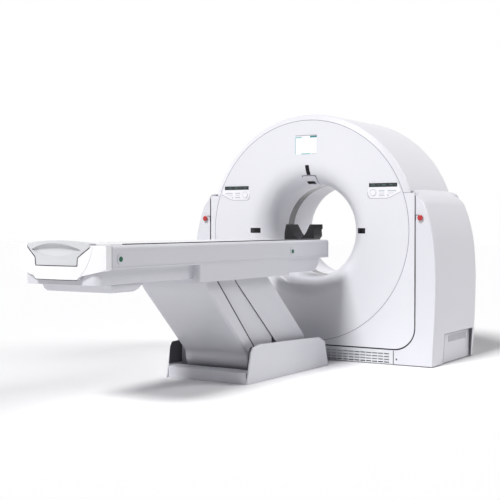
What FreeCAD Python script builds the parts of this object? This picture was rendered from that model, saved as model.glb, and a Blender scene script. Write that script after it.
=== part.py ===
"""Whole-body CT scanner: a round-topped gantry and a patient table on a slanted parallelogram lift.

Millimetres. +Z is up, +X is to the right of someone who stands at the foot of the table, and +Y runs
along the table into the gantry. The origin is on the floor, straight under the isocentre: the scan
plane is y = 0 and the bore's axis is at the isocentre's height.
"""
import FreeCAD, Part
import math
import os
import Sketcher

doc = FreeCAD.newDocument("ct_scanner")
sheet = doc.addObject("Spreadsheet::Sheet", "dims")
PARTS = []


# ---------------------------------------------------------------- sizes from the sheet

class Size:
    """A length worked out from the sheet: its formula and its present value."""

    def __init__(self, text, value):
        self.text = text
        self.value = value

    def __add__(self, other):
        other = sized(other)
        return Size(f"({self.text} + {other.text})", self.value + other.value)

    def __sub__(self, other):
        other = sized(other)
        return Size(f"({self.text} - {other.text})", self.value - other.value)

    def __mul__(self, other):
        other = sized(other)
        return Size(f"({self.text} * {other.text})", self.value * other.value)

    def __truediv__(self, other):
        other = sized(other)
        return Size(f"({self.text} / {other.text})", self.value / other.value)

    def __neg__(self):
        return Size(f"(0 - {self.text})", -self.value)

    def __radd__(self, other):
        return sized(other) + self

    def __rsub__(self, other):
        return sized(other) - self

    def __rmul__(self, other):
        return sized(other) * self


def sized(number):
    """A plain number as a Size."""
    return number if isinstance(number, Size) else Size(repr(float(number)), float(number))


def root(square):
    """The square root of a Size."""
    return Size(f"sqrt({square.text})", math.sqrt(square.value))


def cosine(degrees):
    return Size(f"cos({degrees.text})", math.cos(math.radians(degrees.value)))


def sine(degrees):
    return Size(f"sin({degrees.text})", math.sin(math.radians(degrees.value)))


row_count = [0]


def size(alias, number):
    """Writes one driving dimension into the sheet and returns it."""
    row_count[0] += 1
    sheet.set(f"A{row_count[0]}", alias.replace("_", " "))
    sheet.set(f"B{row_count[0]}", str(number))
    sheet.setAlias(f"B{row_count[0]}", alias)
    return Size(f"dims.{alias}", float(number))


# ---------------------------------------------------------------- ways of making a solid

PLANE_AXIS = {"XY_Plane": "z", "XZ_Plane": "y", "YZ_Plane": "x"}


def new_body(label, at_isocentre=False):
    """A body, with its own origin on the floor or at the isocentre."""
    body = doc.addObject("PartDesign::Body", label)
    body.Label = label
    if at_isocentre:
        body.setExpression("Placement.Base.z", iso_height.text)
    return body


def keep(piece):
    """Marks a finished object as a piece of the scanner, to be written out under its label."""
    PARTS.append(piece)
    return piece


def new_sketch(body, role, level):
    """A sketch in one of the body's own planes, moved along its normal to a level."""
    plane = next(f for f in body.Origin.OriginFeatures if f.Role == role)
    sketch = body.newObject("Sketcher::SketchObject", f"{body.Name}_sketch")
    sketch.AttachmentSupport = [(plane, "")]
    sketch.MapMode = "FlatFace"
    sketch.setExpression("AttachmentOffset.Base.z", (-level if role == "XZ_Plane" else level).text)
    return sketch


def hold(rules, geometry, end, across, up):
    """Adds the two rules that hold one end of a line or arc at a place given by two Sizes."""
    for kind, axis, where in (("DistanceX", -2, across), ("DistanceY", -1, up)):
        if abs(where.value) < 1e-9:
            rules.append((Sketcher.Constraint("PointOnObject", geometry, end, axis), None))
        else:
            rules.append((Sketcher.Constraint(kind, geometry, end, where.value), where.text))


def apply_rules(sketch, rules):
    """Gives the sketch its constraints in one go, then ties the numbers to the sheet."""
    first = len(sketch.Constraints)
    sketch.addConstraint([rule for rule, text in rules])
    for number, (rule, text) in enumerate(rules):
        if text:
            sketch.setExpression(f"Constraints[{first + number}]", text)


def arc_between(here, there, radius, left):
    """The arc from here to there, bending left or right."""
    chord = there - here
    half = chord.Length / 2
    normal = FreeCAD.Vector(-chord.y, chord.x, 0) / chord.Length
    rise = math.sqrt(max(radius * radius - half * half, 0))
    centre = (here + there) / 2 + normal * (rise if left else -rise)
    ends = [math.atan2(point.y - centre.y, point.x - centre.x) for point in (here, there)]
    circle = Part.Circle(centre, FreeCAD.Vector(0, 0, 1), radius)
    return Part.ArcOfCircle(circle, *(ends if left else ends[::-1]))


def draw(sketch, corners):
    """A closed outline. A corner is (across, up) or (across, up, radius): with a radius, the way to
    the next corner is an arc, to the left for a positive radius and to the right for a negative one."""
    corners = [tuple(sized(number) for number in corner) for corner in corners]
    first = len(sketch.Geometry)
    shapes, ends, rules = [], [], []
    for number, corner in enumerate(corners):
        after = corners[(number + 1) % len(corners)]
        here = FreeCAD.Vector(corner[0].value, corner[1].value, 0)
        there = FreeCAD.Vector(after[0].value, after[1].value, 0)
        left = len(corner) == 2 or corner[2].value > 0
        if len(corner) == 2:
            shapes.append(Part.LineSegment(here, there))
        else:
            shapes.append(arc_between(here, there, abs(corner[2].value), left))
        ends.append((1, 2) if left else (2, 1))
    sketch.addGeometry(shapes, False)
    for number, corner in enumerate(corners):
        after = (number + 1) % len(corners)
        rules.append((Sketcher.Constraint("Coincident", first + number, ends[number][1],
                                          first + after, ends[after][0]), None))
        hold(rules, first + number, ends[number][0], corner[0], corner[1])
        if len(corner) == 3:
            radius = corner[2] if corner[2].value > 0 else -corner[2]
            rules.append((Sketcher.Constraint("Radius", first + number, radius.value), radius.text))
    apply_rules(sketch, rules)


def draw_circle(sketch, across, up, radius):
    across, up, radius = sized(across), sized(up), sized(radius)
    centre = FreeCAD.Vector(across.value, up.value, 0)
    geometry = sketch.addGeometry(Part.Circle(centre, FreeCAD.Vector(0, 0, 1), radius.value), False)
    rules = []
    hold(rules, geometry, 3, across, up)
    rules.append((Sketcher.Constraint("Radius", geometry, radius.value), radius.text))
    apply_rules(sketch, rules)


def draw_all(sketch, outlines, circles):
    for corners in outlines:
        draw(sketch, corners)
    for circle in circles:
        draw_circle(sketch, *circle)


def add(body, role, outlines, low, high, circles=()):
    """Pads outlines along the plane's axis, from low to high. Outlines inside others are holes."""
    low, high = sized(low), sized(high)
    sketch = new_sketch(body, role, high if role == "XZ_Plane" else low)
    draw_all(sketch, outlines, circles)
    pad = body.newObject("PartDesign::Pad", f"{body.Name}_pad")
    pad.Profile = sketch
    pad.setExpression("Length", (high - low).text)
    return pad


def cut(body, role, outlines, low, high, circles=()):
    """Cuts outlines out of the body along the plane's axis, from low to high."""
    low, high = sized(low), sized(high)
    sketch = new_sketch(body, role, low if role == "XZ_Plane" else high)
    draw_all(sketch, outlines, circles)
    pocket = body.newObject("PartDesign::Pocket", f"{body.Name}_pocket")
    pocket.Profile = sketch
    pocket.setExpression("Length", (high - low).text)
    return pocket


def turn(body, corners, degrees=360):
    """Turns an outline (along the bore, out from its axis) round the bore's axis."""
    sketch = new_sketch(body, "YZ_Plane", sized(0))
    draw(sketch, corners)
    revolution = body.newObject("PartDesign::Revolution", f"{body.Name}_turn")
    revolution.Profile = sketch
    revolution.ReferenceAxis = (sketch, ["H_Axis"])
    revolution.Angle = degrees
    revolution.Midplane = True
    return revolution


def repeat(body, feature, role, pitch, count):
    """Repeats a feature along one of the body's own axes, as often as count has room for."""
    axis = next(f for f in body.Origin.OriginFeatures if f.Role == role)
    pattern = body.newObject("PartDesign::LinearPattern", f"{body.Name}_pattern")
    pattern.Originals = [feature]
    pattern.Direction = (axis, [""])
    pattern.setExpression("Occurrences", f"floor({count.text})")
    pattern.setExpression("Length", f"{pitch.text} * (floor({count.text}) - 1)")
    body.Tip = pattern
    return pattern


def rectangle(left, low, right, high):
    return [(left, low), (right, low), (right, high), (left, high)]


def rounded(left, low, right, high, radius):
    """A rectangle with round corners."""
    left, low, right, high = sized(left), sized(low), sized(right), sized(high)
    return [(left + radius, low), (right - radius, low, radius), (right, low + radius),
            (right, high - radius, radius), (right - radius, high), (left + radius, high, radius),
            (left, high - radius), (left, low + radius, radius)]


def mirrored(corners):
    """The same outline on the other side of the centre line."""
    turned = []
    corners = [tuple(sized(number) for number in corner) for corner in corners]
    for number in range(len(corners) - 1, -1, -1):
        before = corners[number - 1]
        place = (-corners[number][0], corners[number][1])
        turned.append(place if len(before) == 2 else place + (before[2],))
    return turned


def on_side(side, corners):
    """The outline as it is for the right side (1), or mirrored for the left side (-1)."""
    return corners if side > 0 else mirrored(corners)


def span(side, low, high):
    """A stretch of x from low to high on the right side, or its mirror image on the left side."""
    low, high = sized(low), sized(high)
    return (low, high) if side > 0 else (-high, -low)


def boolean(kind, label, base, tools):
    """A cut, a common or a fuse of finished objects."""
    if kind == "Cut" or kind == "Common":
        piece = doc.addObject(f"Part::{kind}", label)
        piece.Base = base
        piece.Tool = tools[0]
    else:
        piece = doc.addObject("Part::MultiFuse", label)
        piece.Shapes = [base] + list(tools)
    piece.Label = label
    return piece


def box(label, low, high):
    """A box between two corners, each three Sizes."""
    low = [sized(number) for number in low]
    high = [sized(number) for number in high]
    piece = doc.addObject("Part::Box", label)
    piece.Label = label
    for name, axis, a, b in zip(("Length", "Width", "Height"), "xyz", low, high):
        piece.setExpression(name, (b - a).text)
        piece.setExpression(f"Placement.Base.{axis}", a.text)
    return piece


AXIS_TURN = {
    "x": FreeCAD.Rotation(FreeCAD.Vector(0, 0, 1), FreeCAD.Vector(1, 0, 0)),
    "y": FreeCAD.Rotation(FreeCAD.Vector(0, 0, 1), FreeCAD.Vector(0, 1, 0)),
    "z": FreeCAD.Rotation(),
}


def rod(label, axis, start, length, radius):
    """A cylinder along an axis from its start, three Sizes."""
    piece = doc.addObject("Part::Cylinder", label)
    piece.Label = label
    piece.Placement = FreeCAD.Placement(FreeCAD.Vector(), AXIS_TURN[axis])
    piece.setExpression("Radius", sized(radius).text)
    piece.setExpression("Height", sized(length).text)
    for name, place in zip("xyz", start):
        piece.setExpression(f"Placement.Base.{name}", sized(place).text)
    return piece


# ---------------------------------------------------------------- gantry: sizes

bore_radius = size("bore_radius", 350)
front_plane = -size("front_depth", 370)
rear_plane = size("rear_depth", 460)
cover_wall = size("cover_wall", 6)
body_gap = size("body_gap", 0.5)
disc_radius = size("disc_radius", 838)
disc_seam = size("disc_seam", 4)
dome_radius = size("dome_radius", 885)
base_height = size("gantry_base_height", 97)
iso_height = base_height + dome_radius - cover_wall
dome_bevel = size("dome_bevel", 28)
flare_radius = size("flare_radius", 180)
rear_flare = size("rear_flare_radius", 149)
window_half = size("scan_window_half_width", 47)
flange_depth = size("cover_flange_depth", 34)
shoulder = size("shoulder_height", 1250)
centre_half = size("centre_half_width", 883)
panel_foot = size("lower_cover_bottom", 117)
panel_corner = size("lower_cover_corner", 161)
side_gap = size("side_gap", 10)

hoop_front = front_plane + flange_depth
hoop_rear = rear_plane - flange_depth
hoop_thick = size("hoop_thickness", 20)
ring_inner = disc_radius + disc_seam


# ---------------------------------------------------------------- gantry: moulded covers

def ring_cover(label, plane, facing, flare):
    """A round cover: a flat disc round a funnel, with a flange round its rim. facing is 1 where the
    cover faces +Y."""
    body = new_body(label, True)
    mouth = bore_radius + flare
    inside = plane - facing * cover_wall
    rim = plane - facing * flange_depth
    turn(body, [(plane, mouth), (inside, mouth), (inside, disc_radius - cover_wall), (rim, disc_radius - cover_wall),
                (rim, disc_radius), (plane, disc_radius)])
    return body


def funnel(label, plane, facing, flare):
    """The moulding in the middle of a round cover: a quarter-round flare and the liner of the bore."""
    body = new_body(label, True)
    mouth = bore_radius + flare
    throat = plane - facing * flare
    liner_end = facing * (window_half + body_gap)
    turn(body, [(plane, mouth, -facing * flare), (throat, bore_radius), (liner_end, bore_radius),
                (liner_end, bore_radius + cover_wall), (throat, bore_radius + cover_wall, facing * (flare - cover_wall)),
                (plane - facing * cover_wall, mouth)])
    return body


front_cover = keep(ring_cover("front_cover", front_plane, -1, flare_radius))
front_funnel = keep(funnel("front_funnel", front_plane, -1, flare_radius))
keep(ring_cover("rear_cover", rear_plane, 1, rear_flare))
keep(funnel("rear_funnel", rear_plane, 1, rear_flare))

# The insets in the front cover: screen, control panels, laser windows. Heights count from the isocentre.
inset_depth = size("inset_depth", 4.5)
inset_fit = size("inset_clearance", 1)
proud = size("inset_proud", 0.4)
screen_left = -size("screen_left", 100)
screen_right = size("screen_right", 86)
screen_low = size("screen_low", 580)
screen_high = size("screen_high", 727)
screen_corner = size("screen_corner", 5)
panel_in = size("panel_inner_edge", 514)
panel_out = size("panel_outer_edge", 776)
panel_top_out = size("panel_top_outer", 752)
panel_low = size("panel_low", 239)
panel_knee = size("panel_knee", 285)
panel_high = size("panel_high", 356)
panel_cut = size("panel_corner_cut", 26)
panel_base_out = size("panel_base_outer", 676)
laser_in = size("laser_inner_end", 410)
laser_out = size("laser_outer_end", 507)
laser_half = size("laser_half_height", 20)
top_laser_half = size("top_laser_half_width", 16.5)
top_laser_low = size("top_laser_low", 422)
top_laser_high = size("top_laser_high", 500)
laser_corner = size("laser_corner", 6)


def panel_outline(side, extra):
    """The control panel's outline, with a corner cut off towards the rim. extra grows it all round."""
    corners = [(panel_in + panel_cut - extra, panel_low - extra),
               (panel_base_out + extra, panel_low - extra),
               (panel_out + extra, panel_knee - extra), (panel_top_out + extra, panel_high + extra),
               (panel_in - extra, panel_high + extra), (panel_in - extra, panel_low + panel_cut - extra)]
    return on_side(side, corners)


def screen_outline(extra):
    return rounded(screen_left - extra, screen_low - extra, screen_right + extra, screen_high + extra,
                   screen_corner)


def side_laser_outline(side, extra):
    return on_side(side, rounded(laser_in - extra, -laser_half - extra, laser_out + extra,
                                 laser_half + extra, laser_corner))


def top_laser_outline(extra):
    return rounded(-top_laser_half - extra, top_laser_low - extra, top_laser_half + extra,
                   top_laser_high + extra, laser_corner)


cut(front_cover, "XZ_Plane", [screen_outline(inset_fit), panel_outline(1, inset_fit),
                              panel_outline(-1, inset_fit)], front_plane, front_plane + inset_depth)
cut(front_funnel, "XZ_Plane", [side_laser_outline(1, inset_fit), side_laser_outline(-1, inset_fit),
                               top_laser_outline(inset_fit)], front_plane, front_plane + flare_radius)

screen = keep(new_body("display_screen", True))
add(screen, "XZ_Plane", [screen_outline(sized(0))], front_plane - proud, front_plane + inset_depth)

key_across = size("scan_key_across", 556)
key_up = size("scan_key_up", 281)
key_radius = size("scan_key_radius", 25)
key_travel = size("scan_key_travel", 1.5)
readout_in = size("readout_inner_end", 522)
readout_out = size("readout_outer_end", 748)
readout_low = size("readout_low", 321)
readout_high = size("readout_high", 350)
readout_depth = size("readout_depth", 2)

readouts = new_body("panel_readouts", True)
for side, name in ((1, "right"), (-1, "left")):
    panel = keep(new_body(f"{name}_control_panel", True))
    add(panel, "XZ_Plane", [panel_outline(side, sized(0))], front_plane - proud, front_plane + inset_depth,
        circles=[(key_across * side, key_up, key_radius + inset_fit)])
    readout = on_side(side, rectangle(readout_in, readout_low, readout_out, readout_high))
    cut(panel, "XZ_Plane", [readout], front_plane - proud, front_plane - proud + readout_depth)
    key = keep(new_body(f"{name}_scan_key", True))
    add(key, "XZ_Plane", [], front_plane - proud - key_travel - proud,
        front_plane + inset_depth - key_travel - body_gap,
        circles=[(key_across * side, key_up, key_radius)])
add(readouts, "XZ_Plane",
    [rectangle(readout_in, readout_low, readout_out, readout_high),
     mirrored(rectangle(readout_in, readout_low, readout_out, readout_high))],
    front_plane - proud * 1.5, front_plane - proud + readout_depth)
readouts.AllowCompound = True
keep(readouts)


def funnel_piece(label, outlines, rise, depth):
    """A window or unit whose face follows the funnel: a slice of a turned band, rise proud of the
    funnel's surface and depth thick, inside outlines drawn on the front."""
    band = new_body(f"{label}_band", True)
    hub = front_plane + flare_radius
    outer = flare_radius + rise
    inner = flare_radius + rise - depth
    ring = bore_radius + flare_radius
    turn(band, [(hub - outer, ring, outer), (hub, ring - outer), (hub, ring - inner, -inner),
                (hub - inner, ring)])
    window = new_body(f"{label}_outline", True)
    add(window, "XZ_Plane", outlines, front_plane - rise - 1, hub + 1)
    window.AllowCompound = True
    piece = boolean("Common", label, band, [window])
    return keep(piece)


window_rise = size("laser_window_rise", 0.2)
funnel_piece("laser_windows", [side_laser_outline(1, sized(0)), side_laser_outline(-1, sized(0)),
                               top_laser_outline(sized(0))], window_rise, cover_wall + window_rise)

camera_half = size("camera_half_width", 54)
camera_low = size("camera_low", 359)
camera_high = size("camera_high", 416)
camera_rise = size("camera_rise", 9)
funnel_piece("bore_camera", [rounded(-camera_half, camera_low, camera_half, camera_high, 14)],
             camera_rise, camera_rise)

# The smoked ring that the X-ray fan shines through laps behind the two liners.
window_wall = size("scan_window_wall", 3)
window_lap = size("scan_window_lap", 14)
scan_window = keep(new_body("scan_window", True))
turn(scan_window, [
    (-window_half, bore_radius + 0.5), (window_half, bore_radius + 0.5),
    (window_half, bore_radius + cover_wall), (window_half + window_lap, bore_radius + cover_wall),
    (window_half + window_lap, bore_radius + cover_wall + window_wall),
    (-window_half - window_lap, bore_radius + cover_wall + window_wall),
    (-window_half - window_lap, bore_radius + cover_wall), (-window_half, bore_radius + cover_wall)])

# The dome: a bevelled half-round shell over the top, cut level at the shoulders.
dome_cover = keep(new_body("dome_cover", True))
bevel_end = dome_radius - cover_wall
turn(dome_cover, [
    (front_plane, ring_inner), (front_plane + dome_bevel, dome_radius), (rear_plane - dome_bevel, dome_radius),
    (rear_plane, ring_inner), (rear_plane - flange_depth, ring_inner),
    (rear_plane - flange_depth, ring_inner + cover_wall),
    (rear_plane - cover_wall, ring_inner + cover_wall), (rear_plane - dome_bevel - cover_wall / 2, bevel_end),
    (front_plane + dome_bevel + cover_wall / 2, bevel_end), (front_plane + cover_wall, ring_inner + cover_wall),
    (front_plane + flange_depth, ring_inner + cover_wall), (front_plane + flange_depth, ring_inner)])
cut(dome_cover, "XZ_Plane",
    [rectangle(-dome_radius - 20, -dome_radius - 20, dome_radius + 20, shoulder - iso_height + disc_seam)],
    front_plane - 1, rear_plane + 1)


def lower_cover(label, plane, facing):
    """The lower half of a gantry face: two corners and the strip that joins them, round the disc."""
    body = new_body(label)
    top_in = root(ring_inner * ring_inner - (shoulder - iso_height) * (shoulder - iso_height))

    def u_shape(edge):
        bend = panel_corner - edge
        half, low = centre_half - edge, panel_foot + edge
        return half, low, bend

    def plate(edge, ring):
        half, low, bend = u_shape(edge)
        across = root(ring * ring - (shoulder - edge - iso_height) * (shoulder - edge - iso_height))
        return [(-half, low + bend, bend), (-half + bend, low), (half - bend, low, bend), (half, low + bend),
                (half, shoulder - edge), (across, shoulder - edge, -ring), (sized(0), iso_height - ring, -ring),
                (-across, shoulder - edge), (-half, shoulder - edge)]

    inside = plane - facing * cover_wall
    rim = plane - facing * flange_depth
    near, far = (plane, inside) if facing < 0 else (inside, plane)
    add(body, "XZ_Plane", [plate(sized(0), ring_inner)], near, far)
    deep, shallow = (inside, rim) if facing < 0 else (rim, inside)
    add(body, "XZ_Plane", [plate(sized(0), ring_inner), plate(cover_wall, ring_inner + cover_wall)], deep, shallow)
    return keep(body)


lower_cover("front_lower_cover", front_plane, -1)
lower_cover("rear_lower_cover", rear_plane, 1)

# Side covers: shells outside the centre section, with a round shoulder that meets the dome.
side_foot = centre_half + size("side_cover_width", 141)
side_belly = side_foot + size("side_cover_bulge", 26)
belly_height = size("side_cover_belly_height", 568)
side_waist = side_belly - size("side_cover_tuck", 42)
waist_height = size("side_cover_waist_height", 1003)
side_crown = centre_half + size("side_crown_reach", 22)
crown_height = size("side_cover_crown_height", 1238)
side_brow = side_crown + size("side_brow_reach", 39)
brow_height = crown_height - size("side_brow_drop", 58)
floor_gap = size("floor_gap", 6)
side_seam = centre_half - size("side_seam_setback", 159)
side_bevel_drop = size("side_bevel_drop", 24)
side_bevel_in = size("side_bevel_in", 9)
side_top = size("side_cover_top", 1284)
dome_fit = size("dome_fit", 3)


def side_outline(side, inset, drop, hollow=False):
    """A side cover seen from the front. inset moves its outer edge in and drop lowers its shoulder.
    The hollow runs past the open inner side and the floor."""
    meet = dome_radius + dome_fit
    top = side_top - drop
    belly_bend = (belly_height * belly_height + (side_belly - side_foot) * (side_belly - side_foot)) \
        / (2 * (side_belly - side_foot))
    rise = waist_height - belly_height
    waist_bend = (rise * rise + (side_belly - side_waist) * (side_belly - side_waist)) \
        / (2 * (side_belly - side_waist))
    low = sized(-1) if hollow else floor_gap
    corner = panel_corner + side_gap
    inner = centre_half + side_gap
    outer = [(side_foot - inset, low, belly_bend), (side_belly - inset, belly_height, waist_bend),
             (side_waist - inset, waist_height), (side_brow - inset, brow_height - drop / 2, sized(75)),
             (side_crown - inset, crown_height - drop)]
    barrel = root(meet * meet - (top - iso_height) * (top - iso_height))
    if hollow:
        inner_side = [(barrel, top), (side_seam - side_gap, top), (side_seam - side_gap, low)]
    else:
        ledge = shoulder + disc_seam
        ledge_in = root(meet * meet - (ledge - iso_height) * (ledge - iso_height))
        inner_side = [(barrel, top, -meet), (ledge_in, ledge), (inner, ledge), (inner, panel_foot + panel_corner, -corner),
                      (inner - corner, panel_foot - side_gap), (side_seam, panel_foot - side_gap), (side_seam, low)]
    return on_side(side, outer + inner_side)


def loft(body, role, first, first_level, second, second_level):
    """A straight-sided loft between two outlines with the same corners."""
    sketches = []
    for corners, level in ((first, first_level), (second, second_level)):
        sketch = new_sketch(body, role, sized(level))
        draw(sketch, corners)
        sketches.append(sketch)
    feature = body.newObject("PartDesign::AdditiveLoft", f"{body.Name}_loft")
    feature.Profile = sketches[0]
    feature.Sections = [sketches[1]]
    feature.Ruled = True
    return feature


hatch_front = -size("hatch_front", 171)
hatch_rear = size("hatch_rear", 403)
hatch_high = size("hatch_high", 224)
hatch_inset = size("hatch_inset", 14)
hatch_lap = size("hatch_lap", 12)

side_shell = new_body("side_shell")
full = side_outline(-1, sized(0), sized(0))
trimmed = side_outline(-1, side_bevel_in, side_bevel_drop)
add(side_shell, "XZ_Plane", [full], front_plane + dome_bevel, rear_plane - dome_bevel)
loft(side_shell, "XZ_Plane", trimmed, front_plane, full, front_plane + dome_bevel)
loft(side_shell, "XZ_Plane", trimmed, rear_plane, full, rear_plane - dome_bevel)
side_hollow = new_body("side_hollow")
wide = side_outline(-1, cover_wall, cover_wall, True)
narrow = side_outline(-1, cover_wall + side_bevel_in, cover_wall + side_bevel_drop, True)
add(side_hollow, "XZ_Plane", [wide], front_plane + dome_bevel, rear_plane - dome_bevel)
loft(side_hollow, "XZ_Plane", narrow, front_plane + cover_wall, wide, front_plane + dome_bevel)
loft(side_hollow, "XZ_Plane", narrow, rear_plane - cover_wall, wide, rear_plane - dome_bevel)
hatch_opening = box("hatch_opening", (-(side_belly + 20), hatch_front, sized(-1)),
                    (-(side_foot - 60), hatch_rear, hatch_high))
side_open = boolean("Cut", "side_open", side_shell, [side_hollow])
left_side_cover = keep(boolean("Cut", "left_side_cover", side_open, [hatch_opening]))
right_side_cover = doc.addObject("Part::Mirroring", "right_side_cover")
right_side_cover.Source = left_side_cover
right_side_cover.Normal = FreeCAD.Vector(1, 0, 0)
keep(right_side_cover)

# Vent hatches: inset plates behind the openings, each with a louvre.
louvre_front = -size("louvre_front", 28)
louvre_rear = size("louvre_rear", 347)
louvre_low = size("louvre_low", 152)
louvre_high = size("louvre_high", 200)
louvre_pitch = size("louvre_pitch", 25)
louvre_slot = size("louvre_slot", 12)
hatches = keep(new_body("vent_hatches"))
for side in (1, -1):
    low, high = span(side, side_foot - hatch_inset - cover_wall - 4, side_foot - hatch_inset)
    add(hatches, "YZ_Plane", [rectangle(hatch_front - hatch_lap, floor_gap, hatch_rear + hatch_lap,
                                        hatch_high + hatch_lap)], low, high)
louvre = cut(hatches, "YZ_Plane", [rectangle(louvre_front, louvre_low, louvre_front + louvre_slot, louvre_high)],
             -side_belly, side_belly)
repeat(hatches, louvre, "Y_Axis", louvre_pitch, (louvre_rear - louvre_front) / louvre_pitch)
hatches.AllowCompound = True

# Base grilles: low plates across the foot of the gantry, front and rear, with rows of slots.
grille_low = size("grille_low", 6)
grille_high = size("grille_high", 107)
grille_slot = size("grille_slot_height", 8)
grille_rows = [size(f"grille_row_{row}", height) for row, height in enumerate((17, 37, 57.5, 78.5), 1)]
grille_pitch = size("grille_pitch", 48)
grille_bar = size("grille_bar", 8)
grille_edge = size("grille_edge", 700)
grilles = keep(new_body("base_grilles"))
for low, high in ((front_plane, front_plane + cover_wall), (rear_plane - cover_wall, rear_plane)):
    add(grilles, "XZ_Plane", [rectangle(-side_seam + 2, grille_low, side_seam - 2, grille_high)], low, high)
column = [rectangle(-grille_edge + grille_bar / 2, row - grille_slot / 2,
                    -grille_edge + grille_pitch - grille_bar / 2, row + grille_slot / 2) for row in grille_rows]
cells = cut(grilles, "XZ_Plane", column, front_plane - 1, rear_plane + 1)
repeat(grilles, cells, "X_Axis", grille_pitch, grille_edge * 2 / grille_pitch)
grilles.AllowCompound = True

# Emergency stops: a collar on each side cover with a red mushroom that is pushed in.
stop_across = centre_half + size("stop_reach", 48)
stop_height = size("stop_height", 1071)
stop_radius = size("stop_radius", 21)
stop_stem = size("stop_stem_radius", 11)
stop_travel = size("stop_travel", 5)
collar_radius = size("stop_collar_radius", 24)
collar_depth = size("stop_collar_depth", 4)
stop_head = size("stop_head", 11)
collars = keep(new_body("estop_collars"))
for side, name in ((1, "right"), (-1, "left")):
    add(collars, "XZ_Plane", [], front_plane - collar_depth, front_plane,
        circles=[(stop_across * side, stop_height, collar_radius),
                 (stop_across * side, stop_height, stop_stem + body_gap)])
    stop = keep(new_body(f"{name}_estop"))
    head_back = front_plane - collar_depth - stop_travel - 1
    add(stop, "XZ_Plane", [], head_back - stop_head, head_back,
        circles=[(stop_across * side, stop_height, stop_radius)])
    add(stop, "XZ_Plane", [], head_back, front_plane - stop_travel - body_gap,
        circles=[(stop_across * side, stop_height, stop_stem)])
collars.AllowCompound = True


# ---------------------------------------------------------------- gantry: frame and rotor

plate_front = size("stator_plate_front", 205)
plate_thick = size("stator_plate_thickness", 40)
plate_rear = plate_front + plate_thick
plate_radius = size("stator_plate_radius", 800)
bearing_outer = size("bearing_outer_radius", 502)
bearing_split = size("bearing_split_radius", 455)
hub_radius = size("rotor_hub_radius", 399)
hoop_inner = size("hoop_inner_radius", 790)
rail_low = size("frame_rail_low", 15)
frame_front = front_plane + cover_wall + 24
frame_rear = rear_plane - cover_wall - 24
motor_across = size("motor_across", 700)
motor_height = iso_height - size("motor_drop", 706)
shaft_radius = size("motor_shaft_radius", 20)
shaft_room = size("motor_shaft_clearance", 6)
strut_half = size("cover_strut_half_width", 30)
strut_thick = size("cover_strut_thickness", 38)

plate = new_body("stator_plate")
add(plate, "XZ_Plane",
    [[(-plate_radius, base_height), (plate_radius, base_height), (plate_radius, iso_height, plate_radius),
      (sized(0), iso_height + plate_radius, plate_radius), (-plate_radius, iso_height)]],
    plate_front, plate_rear,
    circles=[(sized(0), iso_height, bearing_outer), (motor_across, motor_height, shaft_radius + shaft_room)])
hoops = new_body("cover_hoops", True)
for low, high in ((hoop_front, hoop_front + hoop_thick), (hoop_rear - hoop_thick, hoop_rear)):
    add(hoops, "XZ_Plane", [], low, high,
        circles=[(sized(0), sized(0), dome_radius - cover_wall), (sized(0), sized(0), hoop_inner)])
hoops.AllowCompound = True
stator_parts = [hoops]
for label, low_x, high_x, low_z, high_z in (
        ("strut_right", plate_radius, plate_radius + strut_thick, iso_height - strut_half, iso_height + strut_half),
        ("strut_left", -plate_radius - strut_thick, -plate_radius, iso_height - strut_half, iso_height + strut_half),
        ("strut_top", -strut_half, strut_half, iso_height + plate_radius - 2,
         iso_height + plate_radius + strut_thick)):
    stator_parts.append(box(label, (low_x, hoop_front + hoop_thick / 2, low_z),
                            (high_x, hoop_rear - hoop_thick / 2, high_z)))
keep(boolean("Fuse", "stator_frame", plate, stator_parts))

# The welded base that carries it: rails, cross members, levelling feet and a pad in the middle.
rail_half = size("frame_rail_half", 50)
rail_across = size("frame_rail_across", 760)
outrigger = side_foot - size("outrigger_setback", 39)
cross_wide = size("cross_member_width", 80)
cross_step = size("cross_member_step", 10)
foot_radius = size("levelling_foot_radius", 45)
foot_in = size("levelling_foot_setback", 60)
middle_rail = box("rail_middle", (-rail_half, frame_front, rail_low), (rail_half, frame_rear, base_height))
base_parts = []
for label, place in (("rail_right", rail_across), ("rail_left", -rail_across)):
    base_parts.append(box(label, (place - rail_half, frame_front, rail_low), (place + rail_half, frame_rear, base_height)))
for label, place in (("cross_front", frame_front), ("cross_middle", plate_front - cross_wide / 4),
                     ("cross_rear", frame_rear - cross_wide)):
    base_parts.append(box(label, (-outrigger, place, rail_low + cross_step),
                          (outrigger, place + cross_wide, base_height - cross_step)))
for number, (across, along_bore) in enumerate((
        (rail_across, frame_front + foot_in), (-rail_across, frame_front + foot_in), (sized(0), sized(0)),
        (rail_across, frame_rear - foot_in), (-rail_across, frame_rear - foot_in))):
    base_parts.append(rod(f"levelling_foot_{number}", "z", (across, along_bore, sized(0)), rail_low + 5, foot_radius))
keep(boolean("Fuse", "gantry_base", middle_rail, base_parts))

outer_race = keep(new_body("bearing_outer_ring", True))
turn(outer_race, [(plate_front, bearing_split), (plate_rear, bearing_split), (plate_rear, bearing_outer),
                  (plate_front, bearing_outer)])

drum_front = size("drum_disc_front", 150)
drum_thick = size("drum_disc_thickness", 25)
rim_front = size("drum_rim_front", 100)
rim_outer = size("drum_rim_radius", 770)
rim_inner = size("drum_rim_inner_radius", 742)
ring_start = size("slip_ring_front", 258)
ring_end = size("slip_ring_rear", 300)
slip_radius = size("slip_ring_radius", 440)
drum_bore = bore_radius + cover_wall + window_wall + 13
drum = keep(new_body("rotor_drum", True))
turn(drum, [
    (drum_front, drum_bore), (ring_end, drum_bore), (ring_end, hub_radius), (plate_rear, hub_radius),
    (plate_rear, bearing_split - body_gap), (plate_front, bearing_split - body_gap), (plate_front, hub_radius + 12),
    (drum_front + drum_thick, hub_radius + 12), (drum_front + drum_thick, rim_outer), (rim_front, rim_outer),
    (rim_front, rim_inner), (drum_front, rim_inner)])

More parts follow.
